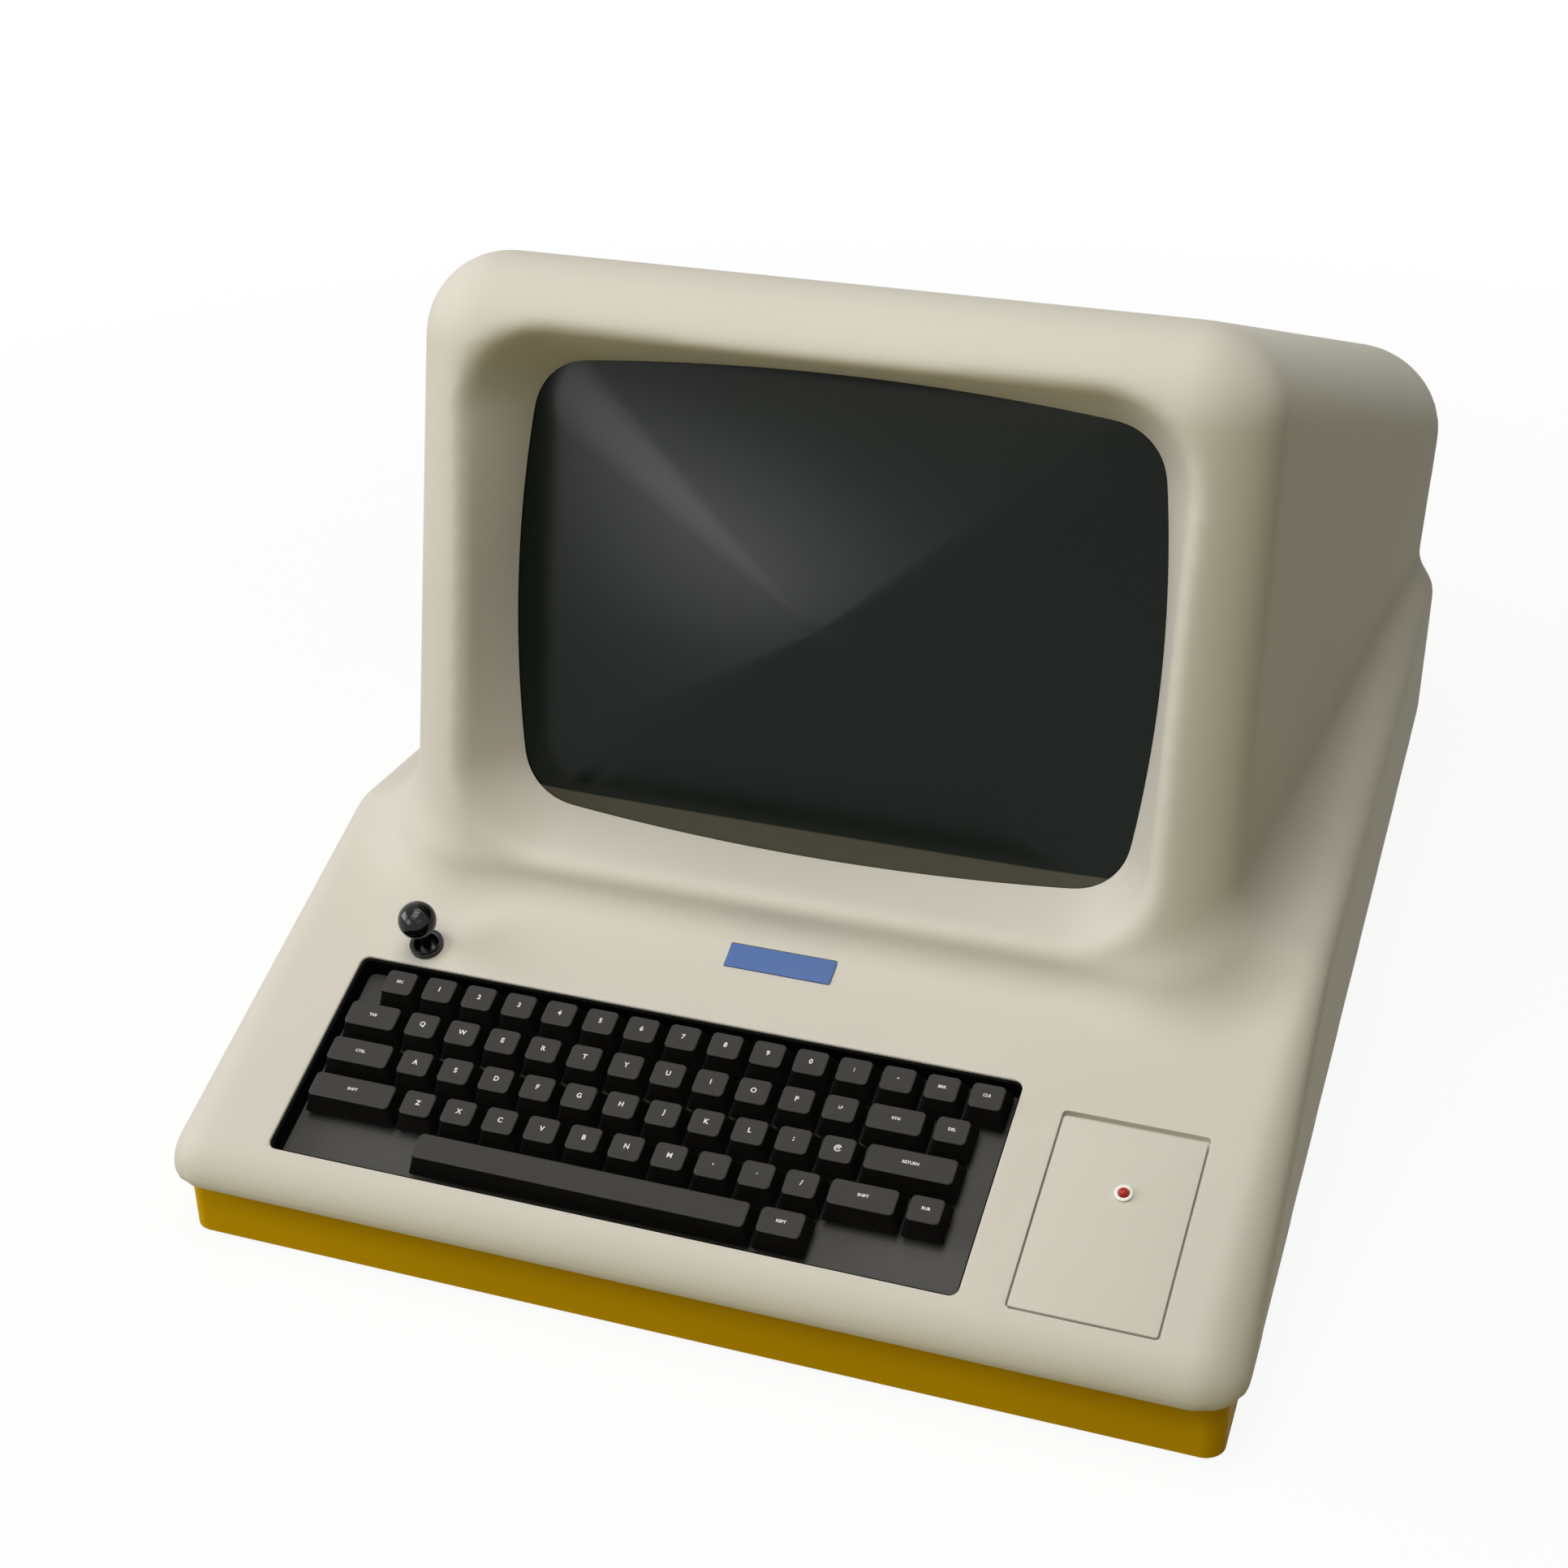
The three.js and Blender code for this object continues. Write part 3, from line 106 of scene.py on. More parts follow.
# Screen and its sunk surround
SCREEN_HALF_WIDTH = 145.5
SCREEN_HALF_HEIGHT = 106.6
SCREEN_SIDE_BOW = 5.5
SCREEN_TOP_BOW = 5.9
SCREEN_CORNER_RADIUS = 26
SCREEN_FROM_DESK = 251.5
SIDE_STEPS = 16
CORNER_STEPS = 14
SURROUND_DEPTH = 40
SURROUND_HALF_WIDTH = 154
SURROUND_HALF_HEIGHT = 114.5
SURROUND_CORNER_RADIUS = 38
SURROUND_LIP_RADIUS = 6
SURROUND_WALL_START = 10
SURROUND_CUT_SHARES = np.linspace(-0.4, 1.4, 13)
SURROUND_CAP_REACH = 20
SURROUND_WALL = 3
GLASS_SKIRT = 30
GLASS_BULGE = 17
GLASS_CURVE_SHARE = 1.5
GLASS_RING_SHARES = np.linspace(0.01, 0.995, 40)
GLASS_MARGIN = 3
GLASS_SETBACK = 1.1
GLASS_EDGE = 1
GLASS_WALL = 6
# Height and blur of the painted reflection of the surround's lower wall on the glass
PAINTED_REFLECTION_HEIGHT = 93.8
PAINTED_REFLECTION_BLUR = 0.4
FUNNEL_DEPTH = 150
FUNNEL_WAIST_RADIUS = 78
FUNNEL_SHARES = np.linspace(0.1, 1, 8)
CONE_SHARES = np.linspace(0.15, 1, 8)
NECK_RADIUS = 14.5
NECK_LENGTH = 95
NECK_WALL = 2.5
YOKE_FLARE = 24

# Keyboard
WELL_CENTRE_X = -32.5
WELL_WIDTH = 303
WELL_FRONT_EDGE = 12.5
WELL_HEIGHT = 102.7
WELL_CORNER_RADIUS = 4
WELL_LIP = 0.7
PLATE_DEPTH = 10.5
KEY_PITCH = 19.05
NUMBER_ROW_FROM_NOSE = 102.55
ESC_FROM_MIDDLE = 160.1
KEY_TOP_HEIGHT = 3
TRAY_WALL = 1.5
TRAY_THIN_WALL = 0.2
TRAY_FLOOR = 2
TRAY_FLANGE = 8
TRAY_EDGE = 0.3
SWITCH_WIDTH = 11.5
SWITCH_RISE = 5
SWITCH_BODY = 8
SWITCH_CORNER_RADIUS = 0.8
SWITCH_EDGE = 0.6
SWITCH_SINK = 0.5
STEM_WIDTH = 4
CAP_WIDTH = 18
CAP_TOP_WIDTH = 13.9
CAP_TOP_DEPTH = 11.9
CAP_TOP_SHIFT = 0.35
CAP_CORNER_RADIUS = 1.6
CAP_CORNER_GROWTH = 0.5
CAP_LEAST_RADIUS = 0.4
CAP_WALL = 1.2
CAP_RIM = 0.02
CAP_SKIRT_GAP = 4.3
CAP_HEIGHT = KEY_TOP_HEIGHT + PLATE_DEPTH - CAP_SKIRT_GAP
CAP_EDGE = 0.7
CAP_BOW = 0.15
CAP_DISH = 0.25
CAP_SIDE_SHARES = (0.2, 0.4, 0.6, 0.8)
CAP_DISH_SHARES = (0.85, 0.6, 0.3, 0.05)
LETTER_SIZE = 3.2
WORD_SIZE = 1.9
LETTER_BOLD = 0.1
WORD_BOLD = 0.06
LEGEND_SHIFT = 0.5
LEGEND_RISE = 0.05

# Rows of keys from the back: start in key pitches, whether the keys move, and their names
KEY_ROWS = [
    (-0.5, False, "esc 1 2 3 4 5 6 7 8 9 0 colon minus break clear"),
    (-1, True, "tab q w e r t y u i o p line_feed rtn delete"),
    (-1, True, "control a s d f g h j k l semicolon at return"),
    (-1, True, "left_shift z x c v b n m comma period slash right_shift rub_out"),
    (2, True, "space repeat"),
]
KEY_WIDTHS = {"tab": 1.5, "rtn": 1.5, "control": 1.75, "return": 2.25, "left_shift": 2.25,
              "right_shift": 1.75, "space": 8, "repeat": 1.25}
LEGENDS = {"esc": "ESC", "colon": ":", "minus": "-", "break": "BRK", "clear": "CLR", "tab": "TAB",
           "line_feed": "LF", "rtn": "RTN", "delete": "DEL", "control": "CTRL", "semicolon": ";",
           "at": "@", "return": "RETURN", "left_shift": "SHIFT", "comma": ",", "period": ".",
           "slash": "/", "right_shift": "SHIFT", "rub_out": "RUB", "space": "", "repeat": "REPT"}
Key = namedtuple("Key", "name x up wide moving")

# Option panel, lamp and name plate
PANEL_X = 168.5
PANEL_UP = 58.3
PANEL_WIDTH = 59.2
PANEL_HEIGHT = 89.6
PANEL_CORNER_RADIUS = 1.2
PANEL_EDGE = 0.4
PANEL_GROOVE = 0.9
PANEL_TOP_GROOVE = 2.4
PANEL_LIP = 0.4
PANEL_THICKNESS = 3
PANEL_LEDGE = 4
PANEL_WELL_RIM = 4
PANEL_WELL_DEPTH = 7
LAMP_X = 170.9
LAMP_UP = 72.3
LAMP_RING_RADIUS = 3.8
LAMP_RING_EDGE = 0.1
LAMP_RING_FOOT = 0.15
LAMP_RING_DROP = 0.25
LAMP_RING_CROWN = 0.5
LAMP_BORE_RADIUS = 2.3
LAMP_NECK_RADIUS = 3
LAMP_LIP = 1.1
LAMP_TAIL = 6
PLATE_X = 0.9
PLATE_UP = 150.5
PLATE_WIDTH = 48.4
PLATE_HEIGHT = 12.2
PLATE_CORNER_RADIUS = 0.8
PLATE_EDGE = 0.25
PLATE_LIP = 0.1
PLATE_THICKNESS = 1
PLATE_SINK = 0.7

# Joystick
STICK_X = -157.4
STICK_UP = 126.1
COLLAR_RADIUS = 7.6
COLLAR_HEIGHT = 2.6
COLLAR_NECK_RADIUS = 7
COLLAR_ROOM = 6.5
COLLAR_MOUTH = 5.5
COLLAR_LIP = 1
COLLAR_BEVEL = 0.35
COLLAR_FOOT = 0.2
STICK_SHAFT_RADIUS = 2.1
STICK_SHAFT_TOP_RADIUS = 2.7
DUST_DOME_RADIUS = 8.7
DUST_DOME_WALL = 0.8
DUST_DOME_SPREAD = math.radians(29)
BALL_RADIUS = 8.5
BALL_HEIGHT = 18.8
BALL_SEAT_SHARE = 1.05
BALL_SEAT_DROP = 0.3
PIVOT_DEPTH = 8
GIMBAL_OUTER = 15
GIMBAL_INNER = 9.6
GIMBAL_HEIGHT = 4
HUB_CORNER_RADIUS = 1
TRUNNION_RADIUS = 1.3

# Base tray; a foot's edge is given by steps outwards from its radius, and heights
FOOT_HEIGHT = 2
FOOT_RADIUS = 13
FOOT_INSET = 52
FOOT_EDGE_STEPS = [(-1, 0), (-0.3, 0.3), (0, 0.9)]
BASE_FRONT_INSET = 10.7
BASE_SIDE_INSET = 6.7
BASE_CORNER_RADIUS = 9.2
BASE_DRAFT = 0.5
BASE_WALL = 3.5
BASE_LOWER_EDGE = 1

# Rear of the case
SERVICE_HALF_WIDTH = 150
SERVICE_BOTTOM = 46
SERVICE_TOP = 104
SERVICE_CORNER_RADIUS = 2
REAR_LIP = 1
SLOT_WIDTH = 230
SLOT_HEIGHT = 5
SLOT_END_FLAT = 0.2
SLOT_PITCH = 12
SLOT_COUNT = 7
SLOT_LOWEST = 139

# The knob at the back stands out of the sunk rear panel, and the whole length is centred on Y = 0
KNOB_REACH = 12
KNOB_POINTER_RISE = 0.7
REAR_PANEL_THICKNESS = 2
REAR_FACE_SETBACK = SHELL_WALL - REAR_PANEL_THICKNESS - SEAT_GAP

# Frames of reference
NOSE_Y = -(BODY_DEPTH + KNOB_REACH + KNOB_POINTER_RISE - REAR_FACE_SETBACK) / 2
REAR_Y = NOSE_Y + BODY_DEPTH
DECK_ANGLE = math.atan2(SHOULDER_FRONT_HEIGHT - DECK_FRONT_HEIGHT, DECK_RUN)
BEND_Y = NOSE_Y + DECK_RUN
FACE_LEAN = math.atan2(FACE_LEAN_RUN, HEAD_TOP_HEIGHT)
FACE_FOOT_Y = NOSE_Y + FACE_FOOT_SETBACK
DECK = Matrix.Translation((0, NOSE_Y, DECK_FRONT_HEIGHT)) @ Matrix.Rotation(DECK_ANGLE, 4, "X")
FACE = Matrix.Translation((0, FACE_FOOT_Y, 0)) @ Matrix.Rotation(-FACE_LEAN, 4, "X")
REAR_AXES = Matrix(((-1, 0, 0, 0), (0, 0, 1, 0), (0, 1, 0, 0), (0, 0, 0, 1)))
REAR = Matrix.Translation((0, REAR_Y, 0)) @ REAR_AXES
UPRIGHT = Matrix.Identity(4)
DECK_OUT = DECK.to_3x3() @ Vector((0, 0, 1))
FACE_UP = FACE.to_3x3() @ Vector((0, 0, 1))
FACE_BACK = FACE.to_3x3() @ Vector((0, 1, 0))

# Camera, in metres, as solved from the grid of the keys
CAMERA_AT = (0.3429, -1.10891, 0.72692)
CAMERA_RIGHT = (0.94095, 0.33840, -0.01004)
CAMERA_DOWN = (0.15197, -0.44870, -0.88067)
CAMERA_FORWARD = (-0.30252, 0.82714, -0.47363)
SENSOR_WIDTH = 36
FOCAL_PIXELS = 3330.66
PHOTO_PIXELS = 1932

# Lights, in metres and watts: name, direction, distance, width, height, power and colour
LIT_POINT = (0, -0.05, 0.15)
SOFTBOXES = [
    ("left_light", (-0.90, -0.35, 0.30), 2.3, 1.6, 1.0, 30, (0.97, 0.97, 1.0)),
    ("top_light", (0.04, -0.05, 1.0), 2.2, 1.3, 1.3, 13, (1, 0.99, 0.85)),
    ("front_top_light", (0.04, -0.50, 1.0), 2.2, 1.3, 1.3, 19, (1, 0.97, 0.98)),
    ("front_light", (-0.10, -0.90, 0.85), 2.4, 1.4, 1.0, 8, (1, 1, 0.78)),
    ("right_light", (0.60, -0.85, 0.35), 2.3, 1.2, 1.0, 2.3, (1, 0.93, 0.66)),
]
SHEEN_AT = (-1.19, -2.20, 0.58)
SHEEN_AIM = (0, -0.17, 0.25)
SHEEN_SIZE = 1.84
SHEEN_POWER = 47
FILL_COLOUR = (1.0, 0.94, 0.74, 1)
FILL_STRENGTH = 0.008

# Floor, in metres: the colour it throws on the object, the colour seen, and where it turns white
FLOOR_REACH = 8
FLOOR_THROWN = (0.36, 0.32, 0.12, 1)
FLOOR_SEEN = (0.95, 0.95, 0.94, 1)
FLOOR_ROUGHNESS = 0.9
FLOOR_FADE_FROM = (0.45, 1.3)
FLOOR_FADE_TO = (0.92, 1.0)

# Colours and patterns; a colour that goes straight into a node has its alpha
CREAM = (0.64, 0.615, 0.55)
MUSTARD = (0.61, 0.355, 0.0)
BLUE = (0.078, 0.150, 0.385)
LENS_BRIGHT = (0.62, 0.018, 0.004, 1)
LENS_DARK = (0.34, 0.008, 0.002, 1)
LENS_FACETS = 900
GLASS_DARK = (0.003, 0.006, 0.004, 1)
GLASS_LIGHT = (0.005, 0.009, 0.006, 1)
# Painted reflection: the lighter colour of the glass's lower edge, standing for the surround's wall mirrored
# in it
GLASS_PAINTED_REFLECTION = (0.082, 0.080, 0.060, 1)
NOISE_RANGE = (0.3, 0.7)
BLOTCH_SCALE = 9
GRAIN_DEPTH = 0.0004
BRUSHED_STRETCH = (0.05, 1, 1)
PLASTIC_UNEVEN = 0.05
METAL_UNEVEN = 0.08
METAL_TONE = 0.85


# Mesh helpers

def quarter_turns(steps):
    """Angles from zero to a right angle."""
    return [i / steps * math.pi / 2 for i in range(steps + 1)]


def eased(share):
    """Share with a soft start and a soft end."""
    return share * share * (3 - 2 * share)


def moved(points, matrix):
    """Points after a 4 by 4 matrix."""
    turn = np.array(matrix)
    return np.asarray(points, float) @ turn[:3, :3].T + turn[:3, 3]


def loft(rings, looped=False):
    """Skin over rings of equal point count: closed at both ends, or joined in a loop."""
    count = len(rings[0])
    points = [tuple(p) for ring in rings for p in ring]
    faces = []
    spans = len(rings) if looped else len(rings) - 1
    for r in range(spans):
        here = r * count
        there = ((r + 1) % len(rings)) * count
        for k in range(count):
            n = (k + 1) % count
            faces.append((here + k, here + n, there + n, there + k))
    if not looped:
        faces.append(tuple(reversed(range(count))))
        faces.append(tuple(range((len(rings) - 1) * count, len(rings) * count)))
    return points, faces


def level(outline, z):
    """Flat ring at height z."""
    return [(x, y, z) for x, y in outline]


def turned(profile, segments=ROUND_SEGMENTS):
    """Solid of revolution about Z from (radius, height) pairs; a looped profile makes a tube."""
    looped = profile[0] == profile[-1]
    rings = []
    for radius, z in profile[:-1] if looped else profile:
        ring = []
        for k in range(segments):
            turn = 2 * math.pi * k / segments
            ring.append((radius * math.cos(turn), radius * math.sin(turn), z))
        rings.append(ring)
    return loft(rings, looped)


def outline(width, height, radius, steps=8, x=0, y=0):
    """Rounded rectangle, anticlockwise."""
    points = []
    w, h = width / 2 - radius, height / 2 - radius
    for corner, (cx, cy) in enumerate([(w, h), (-w, h), (-w, -h), (w, -h)]):
        for i in range(steps + 1):
            turn = (corner + i / steps) * math.pi / 2
            points.append((x + cx + radius * math.cos(turn), y + cy + radius * math.sin(turn)))
    return points


def slab(width, height, radius, z0, z1, x=0, y=0, edge=0.0, steps=8):
    """Rounded block from z0 to z1, its top edge rounded by edge."""
    rings = [level(outline(width, height, radius, steps, x, y), z0)]
    for turn in quarter_turns(EDGE_STEPS) if edge else [0]:
        shrink = edge * (1 - math.cos(turn))
        ring = outline(width - 2 * shrink, height - 2 * shrink, max(radius - shrink, radius / 4),
                       steps, x, y)
        rings.append(level(ring, z1 - edge * (1 - math.sin(turn))))
    return loft(rings)


def flared(width, height, radius, depth, lip, x=0, y=0, top=0):
    """Cutter for a pocket below z = top whose mouth opens out in a small round."""
    def ring(grow, z):
        return level(outline(width + 2 * grow, height + 2 * grow, radius + grow, x=x, y=y), z)

    rings = [ring(0, top - depth)]
    for turn in quarter_turns(LIP_STEPS):
        rings.append(ring(lip * (1 - math.cos(turn)), top - lip + lip * math.sin(turn)))
    rings.append(ring(lip, top + OVERRUN))
    return loft(rings)


def block(x0, x1, y0, y1, z0, z1):
    """Plain box, for cutters and hidden cores."""
    return loft([[(x0, y0, z), (x1, y0, z), (x1, y1, z), (x0, y1, z)] for z in (z0, z1)])


def joined(parts):
    """Several shapes as one set of points and faces."""
    points, faces = [], []
    for more_points, more_faces in parts:
        start = len(points)
        points.extend(tuple(p) for p in more_points)
        faces.extend(tuple(start + i for i in face) for face in more_faces)
    return points, faces


def circle(segments):
    """Points of a level ring of radius 1."""
    turn = np.arange(segments) * 2 * math.pi / segments
    return np.stack([np.cos(turn), np.sin(turn), 0 * turn], 1)


def ball_points(x, y, z, radius, segments):
    """Points all over a ball."""
    turn = np.arange(segments) * 2 * math.pi / segments
    lift = (np.arange(segments // 2 + 1) / (segments // 2) - 0.5) * math.pi
    turn, lift = [a.ravel() for a in np.meshgrid(turn, lift)]
    out = np.stack([np.cos(turn) * np.cos(lift), np.sin(turn) * np.cos(lift), np.sin(lift)], 1)
    return out * radius + (x, y, z)


def add_object(name, data):
    """New object of the scene."""
    obj = bpy.data.objects.new(name, data)
    scene.collection.objects.link(obj)
    return obj


def make_mesh(name, shape, matrix=UPRIGHT):
    """Object in metres from a shape in millimetres, its faces turned outwards."""
    points, faces = shape
    mesh = bpy.data.meshes.new(name)
    mesh.from_pydata((moved(points, matrix) * MM).tolist(), [], faces)
    bm = bmesh.new()
    bm.from_mesh(mesh)
    bmesh.ops.remove_doubles(bm, verts=bm.verts, dist=1e-7)
    bmesh.ops.recalc_face_normals(bm, faces=bm.faces)
    bm.to_mesh(mesh)
    bm.free()
    return add_object(name, mesh)


def make_hull(name, points):
    """Convex hull of points as an object."""
    bm = bmesh.new()
    for p in np.asarray(points) * MM:
        bm.verts.new(p)
    result = bmesh.ops.convex_hull(bm, input=bm.verts)
    spare = [e for e in result["geom_interior"] + result["geom_unused"]
             if isinstance(e, bmesh.types.BMVert)]
    bmesh.ops.delete(bm, geom=list(set(spare)), context="VERTS")
    bmesh.ops.recalc_face_normals(bm, faces=bm.faces)
    mesh = bpy.data.meshes.new(name)
    bm.to_mesh(mesh)
    bm.free()
    return add_object(name, mesh)


def apply_modifiers(obj):
    """Make what the modifiers show the object's own mesh."""
    depsgraph = bpy.context.evaluated_depsgraph_get()
    mesh = bpy.data.meshes.new_from_object(obj.evaluated_get(depsgraph))
    obj.modifiers.clear()
    old = obj.data
    obj.data = mesh
    bpy.data.meshes.remove(old)


def combine(obj, other, operation="DIFFERENCE"):
    """Boolean of obj with other, which is used up."""
    modifier = obj.modifiers.new("combine", "BOOLEAN")
    modifier.solver = "MANIFOLD"
    modifier.operation = operation
    modifier.object = other
    apply_modifiers(obj)
    bpy.data.objects.remove(other)
    return obj


def cut(obj, shape, matrix=UPRIGHT):
    """Take a shape in millimetres out of an object."""
    return combine(obj, make_mesh("cutter", shape, matrix))


def fuse(obj, shape, matrix=UPRIGHT):
    """Join a shape in millimetres to an object."""
    return combine(obj, make_mesh("addition", shape, matrix), "UNION")


def place(obj, body, material, replaces=None):
    """Finish a piece: shading, material, body and the CAD node it stands for."""
    bm = bmesh.new()
    bm.from_mesh(obj.data)
    for face in bm.faces:
        face.smooth = True
    for edge in bm.edges:
        edge.smooth = len(edge.link_faces) != 2 or edge.calc_face_angle(0) < SHARP_ANGLE
    bm.to_mesh(obj.data)
    bm.free()
    obj.data.materials.clear()
    obj.data.materials.append(material)
    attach(obj, body)
    if replaces:
        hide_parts(replaces)


def repaint(obj, material, chosen):
    """Give the faces that chosen(middle in millimetres, normal) picks a second material."""
    obj.data.materials.append(material)
    for polygon in obj.data.polygons:
        if chosen(polygon.center / MM, polygon.normal):
            polygon.material_index = 1


# Materials

def put(tree, node, inputs):
    """Give inputs of a node their values; another node's output is linked instead."""
    for name, value in inputs.items():
        if isinstance(value, bpy.types.NodeSocket):
            tree.links.new(value, node.inputs[name])
        else:
            node.inputs[name].default_value = value


def add_node(tree, kind, inputs, operation=None):
    """New node with its inputs."""
    node = tree.nodes.new(kind)
    if operation:
        node.operation = operation
    put(tree, node, inputs)
    return node


def shader(name):
    """New material, its node tree and its surface."""
    material = bpy.data.materials.new(name)
    material.use_nodes = True
    return material, material.node_tree, material.node_tree.nodes["Principled BSDF"]


def spot_on_object(tree):
    """Place in the object's own axes."""
    return tree.nodes.new("ShaderNodeTexCoord").outputs["Object"]


def noise(tree, vector, scale, detail=2.0):
    """Strength of a noise pattern."""
    node = add_node(tree, "ShaderNodeTexNoise", {"Vector": vector, "Scale": scale, "Detail": detail})
    return node.outputs["Fac"]


def ranged(tree, source, old, new=(0, 1), blend="LINEAR"):
    """Value brought from an old range to a new one."""
    node = add_node(tree, "ShaderNodeMapRange", {"Value": source, "From Min": old[0], "From Max": old[1],
                                                 "To Min": new[0], "To Max": new[1]})
    node.interpolation_type = blend
    return node.outputs["Result"]


def blended(tree, factor, a, b):
    """Colour that goes from a to b with a factor."""
    node = tree.nodes.new("ShaderNodeMix")
    node.data_type = "RGBA"
    put(tree, node, {"Factor": factor, "A": a, "B": b})
    return node.outputs["Result"]


def plastic(name, colour, roughness, tone=0.04, grain=1400, bump=0.05, specular=0.4):
    """Moulded plastic: a broad change of tone, a fine moulded grain and uneven gloss."""
    material, tree, bsdf = shader(name)
    spot = spot_on_object(tree)
    broad = ranged(tree, noise(tree, spot, BLOTCH_SCALE, 4), NOISE_RANGE)
    fine = noise(tree, spot, grain)
    darker = (*[c * (1 - tone) for c in colour], 1)
    lighter = (*[min(c * (1 + tone), 1) for c in colour], 1)
    relief = add_node(tree, "ShaderNodeBump", {"Strength": bump, "Distance": GRAIN_DEPTH, "Height": fine})
    gloss = (roughness - PLASTIC_UNEVEN, roughness + PLASTIC_UNEVEN)
    put(tree, bsdf, {"Base Color": blended(tree, broad, darker, lighter),
                     "Roughness": ranged(tree, fine, NOISE_RANGE, gloss),
                     "Normal": relief.outputs["Normal"],
                     "Specular IOR Level": specular})
    return material


def metal(name, colour, roughness, brushed=400):
    """Sheet metal with a fine directional grain."""
    material, tree, bsdf = shader(name)
    spot = spot_on_object(tree)
    stretched = add_node(tree, "ShaderNodeMapping", {"Vector": spot, "Scale": BRUSHED_STRETCH})
    fine = noise(tree, stretched.outputs["Vector"], brushed)
    darker = (*[c * METAL_TONE for c in colour], 1)
    gloss = (roughness - METAL_UNEVEN, roughness + METAL_UNEVEN)
    put(tree, bsdf, {"Base Color": blended(tree, fine, darker, (*colour, 1)),
                     "Roughness": ranged(tree, fine, NOISE_RANGE, gloss),
                     "Metallic": 1.0})
    return material


CREAM_PLASTIC = plastic("cream_plastic", CREAM, 0.5, tone=0.02, specular=0.05)
MUSTARD_PLASTIC = plastic("mustard_plastic", MUSTARD, 0.55, specular=0.03)
# The keyboard tray is one black plastic in two copies: near black on walls and switches (painted shade),
# lighter grey on the upward floor (painted light)
WELL_PAINTED_SHADE_BLACK = plastic("well_black", (0.003, 0.003, 0.003), 0.6, specular=0.02)
KEY_FLOOR_PAINTED_LIGHT = plastic("plate_grey", (0.068, 0.066, 0.065), 0.6, tone=0.06, specular=0.2)
# Key caps are one black plastic in a darker copy for the sides (painted shade) and a lighter, glossier copy
# for the top (painted sheen); the darker copy is also the plain black of the rocker, knob and stick housing
BLACK_AND_PAINTED_CAP_SHADE = plastic("cap_side", (0.005, 0.0045, 0.004), 0.55, grain=2600, specular=0.04)
CAP_TOP_PAINTED_SHEEN = plastic("cap_top", (0.036, 0.034, 0.033), 0.6, tone=0.03, grain=2600, specular=0.2)
LEGEND_WHITE = plastic("legend_white", (0.75, 0.75, 0.72), 0.6)
PLATE_BLUE = plastic("plate_blue", BLUE, 0.5, specular=0.3)
LAMP_WHITE = plastic("lamp_white", (0.9, 0.9, 0.88), 0.4)
GLOSS_BLACK = plastic("gloss_black", (0.002, 0.002, 0.0025), 0.06, tone=0.1, bump=0.0, specular=0.32)
SATIN_BLACK = plastic("satin_black", (0.006, 0.006, 0.006), 0.22, bump=0.0)
RUBBER = plastic("foot_rubber", (0.02, 0.02, 0.02), 0.8, bump=0.3)
BOARD_GREEN = plastic("board_green", (0.02, 0.10, 0.04), 0.5, tone=0.2, grain=300)
FUNNEL_GREY = plastic("funnel_grey", (0.03, 0.03, 0.032), 0.6, tone=0.2)
COPPER = metal("coil_copper", (0.55, 0.24, 0.10), 0.35, brushed=900)
STEEL = metal("panel_steel", (0.42, 0.42, 0.43), 0.4)


def lens_red():
    """Red lens with small facets inside."""
    material, tree, bsdf = shader("lens_red")
    facets = add_node(tree, "ShaderNodeTexVoronoi", {"Vector": spot_on_object(tree), "Scale": LENS_FACETS})
    put(tree, bsdf, {"Base Color": blended(tree, facets.outputs["Distance"], LENS_BRIGHT, LENS_DARK),
                     "Roughness": 0.12,
                     "Specular IOR Level": 0.25})
    return material


def screen_glass():
    """Dark grey-green tube face under smooth glass, with a painted reflection at its lower edge: a lighter
    strip that stands for the surround's lower wall mirrored in the glass.
    """
    material, tree, bsdf = shader("screen_glass")
    spot = spot_on_object(tree)
    broad = noise(tree, spot, 5, 3)
    height = add_node(tree, "ShaderNodeVectorMath", {0: spot, 1: FACE_UP}, "DOT_PRODUCT")
    middle = (FACE @ Vector((0, SURROUND_DEPTH, SCREEN_FROM_DESK))).dot(FACE_UP)
    # Below this height the base colour is a painted reflection of the surround's lower wall
    edges = [(middle - PAINTED_REFLECTION_HEIGHT + blur) * MM for blur in (-PAINTED_REFLECTION_BLUR, PAINTED_REFLECTION_BLUR)]
    above_painted_reflection = ranged(tree, height.outputs["Value"], edges)
    glass = blended(tree, broad, GLASS_DARK, GLASS_LIGHT)
    put(tree, bsdf, {"Base Color": blended(tree, above_painted_reflection, GLASS_PAINTED_REFLECTION, glass),
                     "Roughness": ranged(tree, broad, NOISE_RANGE, (0.17, 0.22)),
                     "Specular IOR Level": 0.18})
    return material


# Upper case

def body_half_width(y):
    """Half the width of the body, which narrows to the rear."""
    share = (y - NOSE_Y) / BODY_DEPTH
    return (BODY_FRONT_WIDTH + (BODY_REAR_WIDTH - BODY_FRONT_WIDTH) * share) / 2


